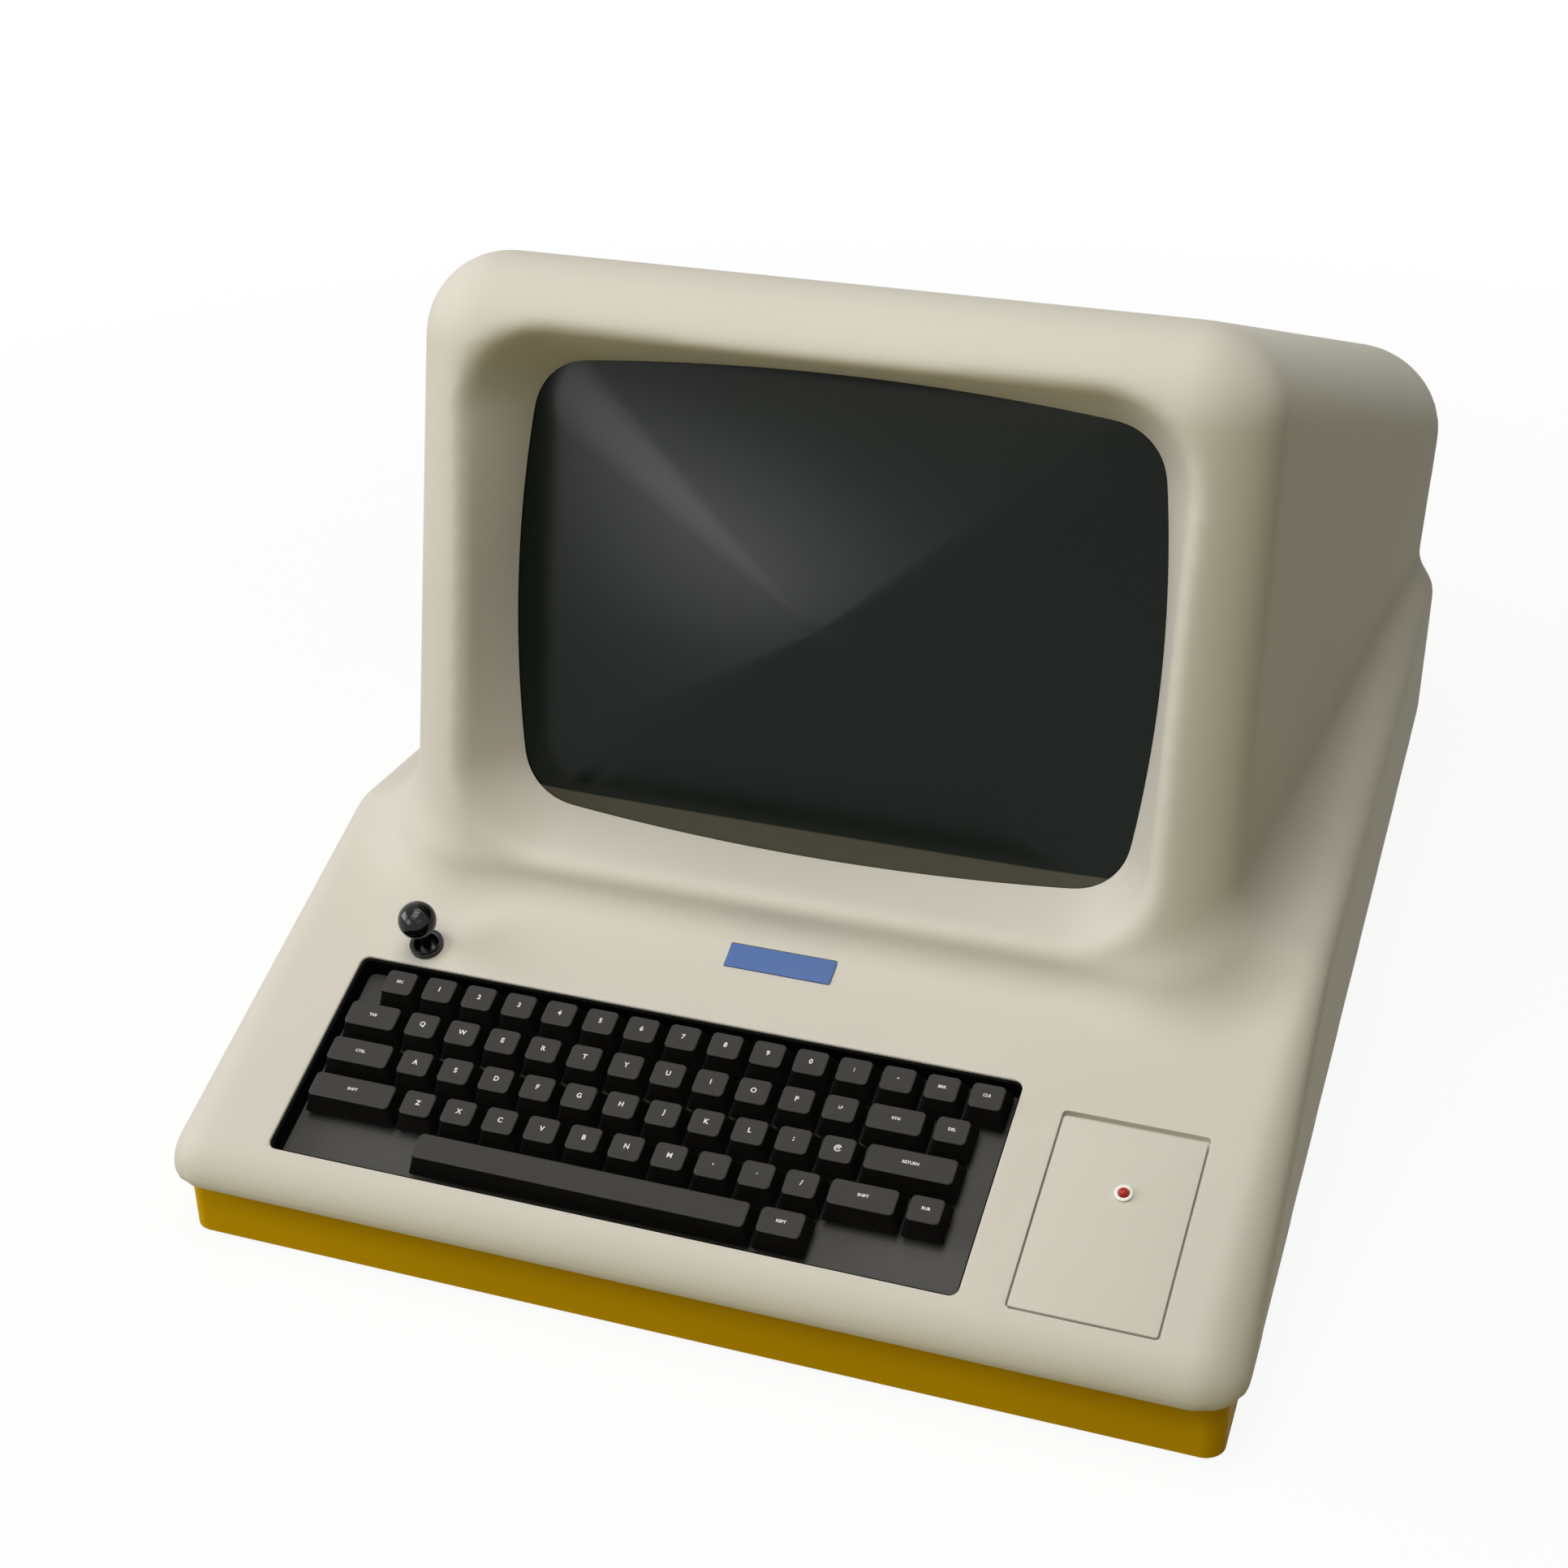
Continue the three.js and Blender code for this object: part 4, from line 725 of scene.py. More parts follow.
def body_mass(name, inset, bottom, segments):
    """Body drawn in by inset: a hull over its rounded corners. Only inset 0 rounds its lower edge."""
    points = []
    ring = circle(segments)
    front_y = NOSE_Y + NOSE_RADIUS
    front_z = DECK_FRONT_HEIGHT + NOSE_RADIUS * math.tan(DECK_ANGLE) - NOSE_RADIUS / math.cos(DECK_ANGLE)
    round_y = BEND_Y + SHOULDER_EDGE_RADIUS * math.tan(DECK_ANGLE / 2)
    back_y = REAR_Y - REAR_EDGE_RADIUS
    lower_y = NOSE_Y + LOWER_FRONT_INSET + LOWER_CORNER_RADIUS
    balls = [(front_y, front_z, NOSE_RADIUS),
             (round_y, SHOULDER_FRONT_HEIGHT - SHOULDER_EDGE_RADIUS, SHOULDER_EDGE_RADIUS),
             (back_y, SHOULDER_REAR_HEIGHT - REAR_EDGE_RADIUS, REAR_EDGE_RADIUS)]
    for side in (-1, 1):
        for y, z, radius in balls:
            x = side * (body_half_width(y) - radius)
            points.append(ball_points(x, y, z, radius - inset, segments))
        lower_x = side * (body_half_width(lower_y) - LOWER_SIDE_INSET - LOWER_CORNER_RADIUS)
        back_x = side * (body_half_width(back_y) - REAR_EDGE_RADIUS - LOWER_SIDE_INSET)
        for turn in quarter_turns(3):
            shrink = inset if inset else LOWER_EDGE_RADIUS * (1 - math.cos(turn))
            z = bottom if inset else bottom + LOWER_EDGE_RADIUS * (1 - math.sin(turn))
            points.append(ring * (LOWER_CORNER_RADIUS - shrink) + (lower_x, lower_y, z))
            points.append(ring * (REAR_EDGE_RADIUS - shrink) + (back_x, back_y, z))
    points = np.concatenate(points)
    points[:, 2] = np.maximum(points[:, 2], bottom)
    return make_hull(name, points)


def head_mass(name, inset, segments):
    """Head drawn in by inset: a hull over its crown, the sill on the deck and the rear face."""
    points = []
    ring = circle(segments)
    standing = ring[:, [0, 2, 1]]
    crown_z = HEAD_TOP_HEIGHT - HEAD_CORNER_RADIUS
    crown_y = FACE_FOOT_Y + crown_z * math.tan(FACE_LEAN) + HEAD_CORNER_RADIUS / math.cos(FACE_LEAN)
    sill_y = SILL_FROM_NOSE + HEAD_CORNER_RADIUS
    back_y = REAR_Y - HEAD_REAR_SETBACK - HEAD_REAR_EDGE_RADIUS
    back_z = HEAD_REAR_HEIGHT - HEAD_REAR_CORNER_RADIUS
    for side in (-1, 1):
        front_x = side * (HEAD_FRONT_WIDTH / 2 - HEAD_CORNER_RADIUS)
        sill_x = side * (HEAD_SILL_WIDTH / 2 - HEAD_CORNER_RADIUS)
        back_x = side * (HEAD_REAR_WIDTH / 2 - HEAD_REAR_CORNER_RADIUS)
        points.append(ball_points(front_x, crown_y, crown_z, HEAD_CORNER_RADIUS - inset, segments))
        for turn in quarter_turns(8):
            reach = HEAD_CORNER_RADIUS - SILL_RADIUS + (SILL_RADIUS - inset) * math.cos(turn)
            out = SILL_HEIGHT - SILL_RADIUS + (SILL_RADIUS - inset) * math.sin(turn)
            points.append(moved(ring * reach + (sill_x, sill_y, out), DECK))
        foot = ring * (HEAD_CORNER_RADIUS - inset)
        points.append(moved(foot + (sill_x, sill_y, -SHELL_WALL * 2), DECK))
        for turn in quarter_turns(6):
            edge = HEAD_REAR_EDGE_RADIUS - inset
            reach = HEAD_REAR_CORNER_RADIUS - HEAD_REAR_EDGE_RADIUS + edge * math.cos(turn)
            points.append(standing * reach + (back_x, back_y + edge * math.sin(turn), back_z))
        foot_x = side * (HEAD_REAR_FOOT_WIDTH / 2 - HEAD_REAR_EDGE_RADIUS)
        points.append(ball_points(foot_x, back_y, SHOULDER_REAR_HEIGHT - HEAD_REAR_EDGE_RADIUS * 2,
                                  HEAD_REAR_EDGE_RADIUS - inset, CAVITY_SEGMENTS))
    return make_hull(name, np.concatenate(points))


def signed_distances(tree, points):
    """Distance of each point from a closed skin, below zero inside, and its direction."""
    distance = np.empty(len(points))
    direction = np.empty((len(points), 3))
    for i, p in enumerate(points):
        nearest, normal, _, gap = tree.find_nearest(p)
        away = Vector(p) - nearest
        inside = away.dot(normal) < 0
        if gap < 1e-5:
            direction[i] = normal
            distance[i] = away.dot(normal)
        else:
            direction[i] = (-away if inside else away) / gap
            distance[i] = -gap if inside else gap
    return distance, direction


def rounded_union(a, toward_a, b, toward_b, radius):
    """Distance from two joined forms with a concave fillet between them."""
    u, v = np.maximum(radius - a, 0), np.maximum(radius - b, 0)
    reach = np.maximum(np.hypot(u, v), 1e-9)
    distance = np.maximum(radius, np.minimum(a, b)) - reach
    return distance, (u[:, None] * toward_a + v[:, None] * toward_b) / reach[:, None]


def rounded_cut(a, toward_a, b, toward_b, radius):
    """Distance from form a less form b, with a rounded edge where they meet."""
    u, v = np.maximum(radius + a, 0), np.maximum(radius - b, 0)
    reach = np.maximum(np.hypot(u, v), 1e-9)
    distance = reach + np.minimum(np.maximum(a, -b), -radius)
    return distance, (u[:, None] * toward_a - v[:, None] * toward_b) / reach[:, None]


def flare_radius(points):
    """Radius in metres of the concave fillet at the foot of the head."""
    x, y = np.abs(points[:, 0]) / MM, points[:, 1] / MM
    corner = 2 * HEAD_CORNER_RADIUS
    sideways = eased(np.clip((x - (HEAD_SILL_WIDTH / 2 - corner)) / corner, 0, 1))
    backward = np.clip((y - BEND_Y) / (REAR_Y - BEND_Y), 0, 1)
    radius = FLARE_FRONT_RADIUS + (FLARE_SIDE_RADIUS - FLARE_FRONT_RADIUS) * sideways
    return (radius + (FLARE_REAR_RADIUS - radius) * backward) * MM


def smooth_mesh(points, edges, rounds, share):
    """Laplacian smoothing of points along edges."""
    count = np.bincount(edges.ravel(), minlength=len(points))[:, None]
    for _ in range(rounds):
        total = np.zeros_like(points)
        for axis in range(3):
            total[:, axis] = np.bincount(edges[:, 0], points[edges[:, 1], axis], len(points))
            total[:, axis] += np.bincount(edges[:, 1], points[edges[:, 0], axis], len(points))
        points = points + share * (total / count - points)
    return points


def settle(points, edges, chosen, trees, lip):
    """Bring the chosen points onto the rounded skin, with a lip round the recess if one is given."""
    there = points[chosen]
    body, head, recess = trees
    gap, slope = rounded_union(*signed_distances(body, there), *signed_distances(head, there),
                               flare_radius(there))
    if lip:
        gap, slope = rounded_cut(gap, slope, *signed_distances(recess, there), lip)
    steep = np.maximum((slope * slope).sum(1), 0.25)
    points = points.copy()
    points[chosen] = there - slope * (gap / steep)[:, None]
    points[chosen] = smooth_mesh(points, edges, 2, 0.3)[chosen]
    return points


def case_skin():
    """Outer form: a concave fillet joins body and head, and the recess has a soft lip."""
    body = body_mass("case_body", 0, PARTING_HEIGHT, SKIN_SEGMENTS)
    head = head_mass("case_head", 0, SKIN_SEGMENTS)
    recess = make_mesh("recess", surround_hollow())
    trees = []
    for obj in (body, head, recess):
        mesh = obj.data
        trees.append(BVHTree.FromPolygons([v.co for v in mesh.vertices], [p.vertices for p in mesh.polygons]))
    skin = combine(combine(body, head, "UNION"), recess)
    remesh = skin.modifiers.new("even", "REMESH")
    remesh.mode = "VOXEL"
    remesh.voxel_size = CASE_VOXEL * MM
    apply_modifiers(skin)
    mesh = skin.data
    points = np.empty(len(mesh.vertices) * 3)
    mesh.vertices.foreach_get("co", points)
    points = points.reshape(-1, 3)
    edges = np.empty(len(mesh.edges) * 2, int)
    mesh.edges.foreach_get("vertices", edges)
    edges = edges.reshape(-1, 2)
    from_recess = signed_distances(trees[2], points)[0] / MM
    for _ in range(SETTLE_ROUNDS):
        points = settle(points, edges, from_recess > CASE_VOXEL / 2, trees, 0)
    near_recess = from_recess < 3 * SURROUND_LIP_RADIUS
    for _ in range(SETTLE_ROUNDS):
        points = settle(points, edges, near_recess, trees, SURROUND_LIP_RADIUS * MM)
    points = smooth_mesh(points, edges, 3, 0.4)
    mesh.vertices.foreach_set("co", points.ravel())
    mesh.update()
    return skin


def around_four_quarters(quarter, top):
    """Whole outline from its first quarter and the point at its top."""
    points = quarter + [(0, top)]
    points += [(-x, z) for x, z in reversed(quarter)]
    points += [(-x, -z) for x, z in quarter[1:]] + [(0, -top)]
    points += [(x, -z) for x, z in reversed(quarter[1:])]
    return points


def screen_outline(grow):
    """Tube face: bowed sides and round corners."""
    side_turn = math.atan2(2 * SCREEN_SIDE_BOW, SCREEN_HALF_HEIGHT)
    top_turn = math.atan2(2 * SCREEN_TOP_BOW, SCREEN_HALF_WIDTH)
    radius = SCREEN_CORNER_RADIUS + grow
    centre_x = SCREEN_HALF_WIDTH - SCREEN_SIDE_BOW - SCREEN_CORNER_RADIUS * math.cos(side_turn)
    centre_z = SCREEN_HALF_HEIGHT - SCREEN_TOP_BOW - SCREEN_CORNER_RADIUS * math.cos(top_turn)
    end_z = centre_z + radius * math.sin(side_turn)
    end_x = centre_x + radius * math.sin(top_turn)
    quarter = []
    for i in range(SIDE_STEPS):
        share = i / SIDE_STEPS
        quarter.append((SCREEN_HALF_WIDTH + grow - SCREEN_SIDE_BOW * share * share, end_z * share))
    for i in range(CORNER_STEPS + 1):
        turn = side_turn + (math.pi / 2 - top_turn - side_turn) * i / CORNER_STEPS
        quarter.append((centre_x + radius * math.cos(turn), centre_z + radius * math.sin(turn)))
    for i in range(SIDE_STEPS - 1, 0, -1):
        share = i / SIDE_STEPS
        quarter.append((end_x * share, SCREEN_HALF_HEIGHT + grow - SCREEN_TOP_BOW * share * share))
    return around_four_quarters(quarter, SCREEN_HALF_HEIGHT + grow)


def surround_outline(grow):
    """Rounded rectangle with the point order of the screen outline."""
    half_w, half_h = SURROUND_HALF_WIDTH + grow, SURROUND_HALF_HEIGHT + grow
    radius = SURROUND_CORNER_RADIUS + grow
    quarter = [(half_w, (half_h - radius) * i / SIDE_STEPS) for i in range(SIDE_STEPS)]
    for turn in quarter_turns(CORNER_STEPS):
        quarter.append((half_w - radius + radius * math.cos(turn), half_h - radius + radius * math.sin(turn)))
    quarter += [((half_w - radius) * i / SIDE_STEPS, half_h) for i in range(SIDE_STEPS - 1, 0, -1)]
    return around_four_quarters(quarter, half_h)


def face_ring(points, depth):
    """Ring at a depth behind the leaning face of the head."""
    return moved([(x, depth, SCREEN_FROM_DESK + z) for x, z in points], FACE)


def surround_hollow():
    """Room of the sunk surround: straight walls past the glass, and a cap that narrows to the front."""
    start, end = np.array(surround_outline(0)), np.array(screen_outline(0))
    run = SURROUND_DEPTH - SURROUND_WALL_START
    rings = [face_ring(start + (end - start) * share, SURROUND_WALL_START + run * share)
             for share in SURROUND_CUT_SHARES]
    return loft([face_ring(end, -SURROUND_CAP_REACH)] + rings)


def surround_sleeve():
    """Plug that keeps a wall round the surround when the case is hollowed."""
    mouth = surround_outline(SURROUND_WALL_START + SURROUND_WALL)
    return loft([face_ring(mouth, -OVERRUN),
                 face_ring(mouth, 0),
                 face_ring(surround_outline(SURROUND_WALL), SURROUND_WALL_START),
                 face_ring(screen_outline(SURROUND_WALL), SURROUND_DEPTH)])


def base_hull(name, inset, z0, z1, draft=0.0, edge=0.0):
    """Plan outline of the base, drawn in by inset, as an upright block with its lower edge cut."""
    points = []
    ring = circle(ROUND_SEGMENTS)
    front_y = NOSE_Y + BASE_FRONT_INSET + BASE_CORNER_RADIUS
    back_y = REAR_Y - BASE_FRONT_INSET - BASE_CORNER_RADIUS
    for z, shrink in ((z0, inset + draft + edge), (z0 + edge, inset + draft), (z1, inset)):
        radius = max(BASE_CORNER_RADIUS - shrink, BASE_DRAFT)
        spare = max(shrink - BASE_CORNER_RADIUS, 0)
        for side in (-1, 1):
            for y in (front_y, back_y):
                x = side * (body_half_width(y) - BASE_SIDE_INSET - BASE_CORNER_RADIUS - spare)
                points.append(ring * radius + (x, y - math.copysign(spare, y), z))
    return make_hull(name, np.concatenate(points))


def case_cavity():
    """Room inside the upper case, less its seat flange, the surround's wall and the panel's well."""
    cavity = combine(body_mass("inner_body", SHELL_WALL, PARTING_HEIGHT - OVERRUN, CAVITY_SEGMENTS),
                     head_mass("inner_head", SHELL_WALL, CAVITY_SEGMENTS), "UNION")
    flange_top = PARTING_HEIGHT + SEAT_FLANGE_THICKNESS
    flange = make_mesh("flange", block(-BODY_FRONT_WIDTH, BODY_FRONT_WIDTH, -BODY_DEPTH, BODY_DEPTH,
                                       PARTING_HEIGHT - 2 * OVERRUN, flange_top))
    combine(flange, base_hull("tray_hole", SEAT_FLANGE_WIDTH, PARTING_HEIGHT - 3 * OVERRUN,
                              flange_top + OVERRUN))
    combine(cavity, flange)
    cut(cavity, surround_sleeve())
    rim = 2 * PANEL_WELL_RIM
    cut(cavity, slab(PANEL_WIDTH + rim, PANEL_HEIGHT + rim, PANEL_CORNER_RADIUS + PANEL_WELL_RIM,
                     -PANEL_WELL_DEPTH, OVERRUN, PANEL_X, PANEL_UP), DECK)
    return cavity


def deck_openings():
    """Cutters in the deck: keyboard well, option panel with its ledge, and name plate."""
    return [
        flared(WELL_WIDTH, WELL_HEIGHT, WELL_CORNER_RADIUS, SHELL_WALL + OVERRUN, WELL_LIP,
               WELL_CENTRE_X, WELL_FRONT_EDGE + WELL_HEIGHT / 2),
        flared(PANEL_WIDTH + 2 * PANEL_GROOVE, PANEL_HEIGHT + PANEL_GROOVE + PANEL_TOP_GROOVE,
               PANEL_CORNER_RADIUS + PANEL_GROOVE, PANEL_THICKNESS + SEAT_GAP, PANEL_LIP, PANEL_X,
               PANEL_UP + (PANEL_TOP_GROOVE - PANEL_GROOVE) / 2),
        slab(PANEL_WIDTH - 2 * PANEL_LEDGE, PANEL_HEIGHT - 2 * PANEL_LEDGE, PANEL_CORNER_RADIUS,
             -PANEL_WELL_DEPTH - OVERRUN, 0, PANEL_X, PANEL_UP),
        flared(PLATE_WIDTH + SEAT_GAP, PLATE_HEIGHT + SEAT_GAP, PLATE_CORNER_RADIUS, PLATE_SINK,
               PLATE_LIP, PLATE_X, PLATE_UP),
    ]


def rear_openings():
    """Cutters in the back: service opening and air slots."""
    depth = 2 * REAR_EDGE_RADIUS
    service_height = SERVICE_TOP - SERVICE_BOTTOM
    cutters = [flared(2 * SERVICE_HALF_WIDTH, service_height, SERVICE_CORNER_RADIUS, depth, REAR_LIP,
                      0, SERVICE_BOTTOM + service_height / 2)]
    for i in range(SLOT_COUNT):
        z = SLOT_LOWEST + i * SLOT_PITCH + SLOT_HEIGHT / 2
        cutters.append(flared(SLOT_WIDTH, SLOT_HEIGHT, (SLOT_HEIGHT - SLOT_END_FLAT) / 2, depth,
                              REAR_LIP, 0, z, top=-HEAD_REAR_SETBACK))
    return cutters


def upper_case():
    """Cream moulding: deck, head, sunk screen surround and rear."""
    shell = case_skin()
    shell.name = "case_top"
    combine(shell, case_cavity())
    for cutter in deck_openings():
        cut(shell, cutter, DECK)
    bore = COLLAR_NECK_RADIUS + SEAT_GAP
    cut(shell, turned([(bore, -SHELL_WALL - OVERRUN), (bore, OVERRUN)]), deck_at(STICK_X, STICK_UP))
    for cutter in rear_openings():
        cut(shell, cutter, REAR)
    place(shell, "case", CREAM_PLASTIC, "upper_case")


# Base tray and feet

def foot_names_and_places():
    """Name and place of each rubber foot."""
    for side, side_name in ((-1, "left"), (1, "right")):
        for end, y in (("front", NOSE_Y + BASE_FRONT_INSET + FOOT_INSET),
                       ("rear", REAR_Y - BASE_FRONT_INSET - FOOT_INSET)):
            yield f"foot_{end}_{side_name}", side * (body_half_width(y) - BASE_SIDE_INSET - FOOT_INSET), y


def lower_case():
    """Mustard base tray on its rubber feet."""
    top = PARTING_HEIGHT - SEAT_GAP
    tray = base_hull("case_base", 0, FOOT_HEIGHT, top, BASE_DRAFT, BASE_LOWER_EDGE)
    combine(tray, base_hull("tray_room", BASE_WALL, FOOT_HEIGHT + BASE_WALL, top + OVERRUN, BASE_DRAFT))
    place(tray, "case", MUSTARD_PLASTIC, "lower_case")
    profile = [(FOOT_RADIUS + out, z) for out, z in FOOT_EDGE_STEPS] + [(FOOT_RADIUS, FOOT_HEIGHT)]
    for name, x, y in foot_names_and_places():
        place(make_mesh(name, turned(profile), Matrix.Translation((x, y, 0))), "case", RUBBER)


# Picture tube

def picture_tube():
    """Glass face and skirt, funnel and neck, hollow, with the funnel in its own grey."""
    edge = np.array(screen_outline(GLASS_MARGIN))
    toward = edge / np.hypot(edge[:, 0], edge[:, 1])[:, None]

    def round_ring(radius, depth):
        return face_ring(toward * radius, depth)

    front = SURROUND_DEPTH + GLASS_SETBACK
    mouth = front + GLASS_SKIRT
    waist = mouth + FUNNEL_DEPTH / 2
    neck = mouth + FUNNEL_DEPTH
    # The face is a pillow: its level lines follow the outline down to the middle
    rings = [face_ring(edge * share, front - GLASS_BULGE * (1 - share ** GLASS_CURVE_SHARE))
             for share in GLASS_RING_SHARES]
    rings += [face_ring(edge, front + GLASS_EDGE), face_ring(edge, mouth)]
    for share in FUNNEL_SHARES:
        swing = eased(share)
        ring = edge * (1 - swing) + toward * FUNNEL_WAIST_RADIUS * swing
        rings.append(face_ring(ring, mouth + (waist - mouth) * share))
    for share in CONE_SHARES:
        radius = FUNNEL_WAIST_RADIUS + (2 * NECK_RADIUS - FUNNEL_WAIST_RADIUS) * share
        rings.append(round_ring(radius, waist + (neck - YOKE_FLARE - waist) * share))
    rings += [round_ring(NECK_RADIUS, neck), round_ring(NECK_RADIUS, neck + NECK_LENGTH)]
    tube = make_mesh("tube", loft(rings))
    inner = edge * (1 - GLASS_WALL / SCREEN_HALF_HEIGHT)
    cut(tube, loft([face_ring(inner, front + GLASS_WALL), face_ring(inner, mouth),
                    round_ring(FUNNEL_WAIST_RADIUS - GLASS_WALL, waist),
                    round_ring(2 * NECK_RADIUS - GLASS_WALL, neck - YOKE_FLARE),
                    round_ring(NECK_RADIUS - NECK_WALL, neck),
                    round_ring(NECK_RADIUS - NECK_WALL, neck + NECK_LENGTH + OVERRUN)]))
    place(tube, "case", screen_glass(), "picture_tube")
    limit = FACE @ Vector((0, mouth, SCREEN_FROM_DESK))
    repaint(tube, FUNNEL_GREY, lambda middle, normal: (middle - limit).dot(FACE_BACK) > 0)


# Keyboard

def keys():
    """Every key: its middle on the deck, its width in pitches and whether it moves."""
    for index, (start, moving, names) in enumerate(KEY_ROWS):
        up = NUMBER_ROW_FROM_NOSE - index * KEY_PITCH
        left = start
        for name in names.split():
            wide = KEY_WIDTHS.get(name, 1)
            yield Key(name, -ESC_FROM_MIDDLE + (left + wide / 2) * KEY_PITCH, up, wide, moving)
            left += wide


def cap_top_width(width):
    """Width of the dished part of a cap's top."""
    return width - (CAP_WIDTH - CAP_TOP_WIDTH) - 2 * CAP_EDGE


def cap_top(x, width):
    """Height of the dished top at x."""
    share = min(abs(x) / (width / 2), 1)
    return CAP_HEIGHT - CAP_DISH * (1 - share * share)


def cap_shape(width):
    """Hollow cap: skirt, tapering sides, rounded edge and faintly dished top."""
    steps = 5

    def ring(share, z, grow=0.0):
        w = width - (CAP_WIDTH - CAP_TOP_WIDTH) * share + 2 * grow
        d = CAP_WIDTH + (CAP_TOP_DEPTH - CAP_WIDTH) * share + 2 * grow
        radius = max(CAP_CORNER_RADIUS + CAP_CORNER_GROWTH * share + grow, CAP_LEAST_RADIUS)
        return level(outline(w, d, radius, steps, 0, CAP_TOP_SHIFT * share), z)

    rings = [ring(1, CAP_HEIGHT - 1.5 * CAP_WALL, -CAP_WALL), ring(0, CAP_RIM, -CAP_WALL),
             ring(0, 0, CAP_RIM - CAP_WALL), ring(0, 0, -CAP_BOW), ring(0, CAP_BOW)]
    for share in CAP_SIDE_SHARES:
        rings.append(ring(share, share * (CAP_HEIGHT - CAP_EDGE), -CAP_BOW * math.sin(math.pi * share)))
    for turn in quarter_turns(5):
        z = CAP_HEIGHT - CAP_EDGE + CAP_EDGE * math.sin(turn)
        rings.append(ring(1, z, -CAP_EDGE * (1 - math.cos(turn))))
    top_w, top_d = cap_top_width(width), CAP_TOP_DEPTH - 2 * CAP_EDGE
    for share in CAP_DISH_SHARES:
        inner = outline(top_w * share, top_d * share, CAP_CORNER_RADIUS * share, steps, 0, CAP_TOP_SHIFT)
        rings.append([(x, y, cap_top(x, top_w)) for x, y in inner])
    return loft(rings)


def legend_shape(text, width):
    """Flat lettering that lies on the dished top."""
    word = len(text) > 1
    curve = bpy.data.curves.new("legend", "FONT")
    curve.body = text
    curve.size = WORD_SIZE if word else LETTER_SIZE
    curve.offset = WORD_BOLD if word else LETTER_BOLD
    curve.align_x = "CENTER"
    curve.align_y = "CENTER"
    curve.resolution_u = 4
    obj = add_object("legend", curve)
    mesh = bpy.data.meshes.new_from_object(obj.evaluated_get(bpy.context.evaluated_depsgraph_get()))
    points = np.array([v.co for v in mesh.vertices])
    faces = [tuple(p.vertices) for p in mesh.polygons]
    bpy.data.objects.remove(obj)
    bpy.data.meshes.remove(mesh)
    points = points - (points.max(0) + points.min(0)) / 2
    points[:, 1] += CAP_TOP_SHIFT + LEGEND_SHIFT
    points[:, 2] = [cap_top(x, cap_top_width(width)) + LEGEND_RISE for x in points[:, 0]]
    return points, faces


def key_cap(key):
    """One cap with its stem and its legend; its top is painted lighter than its sides, a painted sheen over
    painted shade.
    """
    width = key.wide * KEY_PITCH - (KEY_PITCH - CAP_WIDTH)
    half = STEM_WIDTH / 2
    stem = block(-half, half, -half, half, -CAP_SKIRT_GAP + 2 * SEAT_GAP, CAP_HEIGHT - CAP_WALL)
    matrix = deck_at(key.x, key.up, -PLATE_DEPTH + CAP_SKIRT_GAP)
    body = f"key_{key.name}" if key.moving else "case"
    cap = make_mesh(f"cap_{key.name}", joined([cap_shape(width), stem]), matrix)
    place(cap, body, BLACK_AND_PAINTED_CAP_SHADE, body if key.moving else None)
    # Upward faces of the top take the lighter copy of the black: painted sheen; the rest keeps the darker
    # copy: painted shade
    edge = DECK @ Vector((0, 0, KEY_TOP_HEIGHT - 0.75 * CAP_EDGE))
    repaint(cap, CAP_TOP_PAINTED_SHEEN, lambda middle, normal:
            (middle - edge).dot(DECK_OUT) > 0 and normal.dot(DECK_OUT) > 0.3)
    text = LEGENDS.get(key.name, key.name.upper())
    if text:
        legend = make_mesh(f"legend_{key.name}", legend_shape(text, width), matrix)
        place(legend, body, LEGEND_WHITE)


def add_switches(tray, bottom):
    """Join the switch bodies and their bars to the tray, and bore them for the stems."""
    bars, bores, bodies = [], [], []
    half, bore = SWITCH_WIDTH / 2, STEM_WIDTH / 2 + SLIDE_GAP
    for row_up in sorted({key.up for key in keys()}, reverse=True):
        across = [key.x for key in keys() if key.up == row_up]
        bars.append(block(across[0] - half, across[-1] + half, row_up - half, row_up + half,
                          bottom - SWITCH_BODY, bottom + TRAY_FLOOR / 2))
    for key in keys():
        top = -PLATE_DEPTH + (SWITCH_RISE if key.moving else CAP_SKIRT_GAP - SEAT_GAP)
        bodies.append(slab(SWITCH_WIDTH, SWITCH_WIDTH, SWITCH_CORNER_RADIUS, bottom + SWITCH_SINK, top,
                           key.x, key.up, edge=SWITCH_EDGE, steps=3))
        bores.append(block(key.x - bore, key.x + bore, key.up - bore, key.up + bore,
                           bottom - SWITCH_BODY + TRAY_FLOOR, top + OVERRUN))
    fuse(tray, joined(bars), DECK)
    fuse(tray, joined(bodies), DECK)
    cut(tray, joined(bores), DECK)


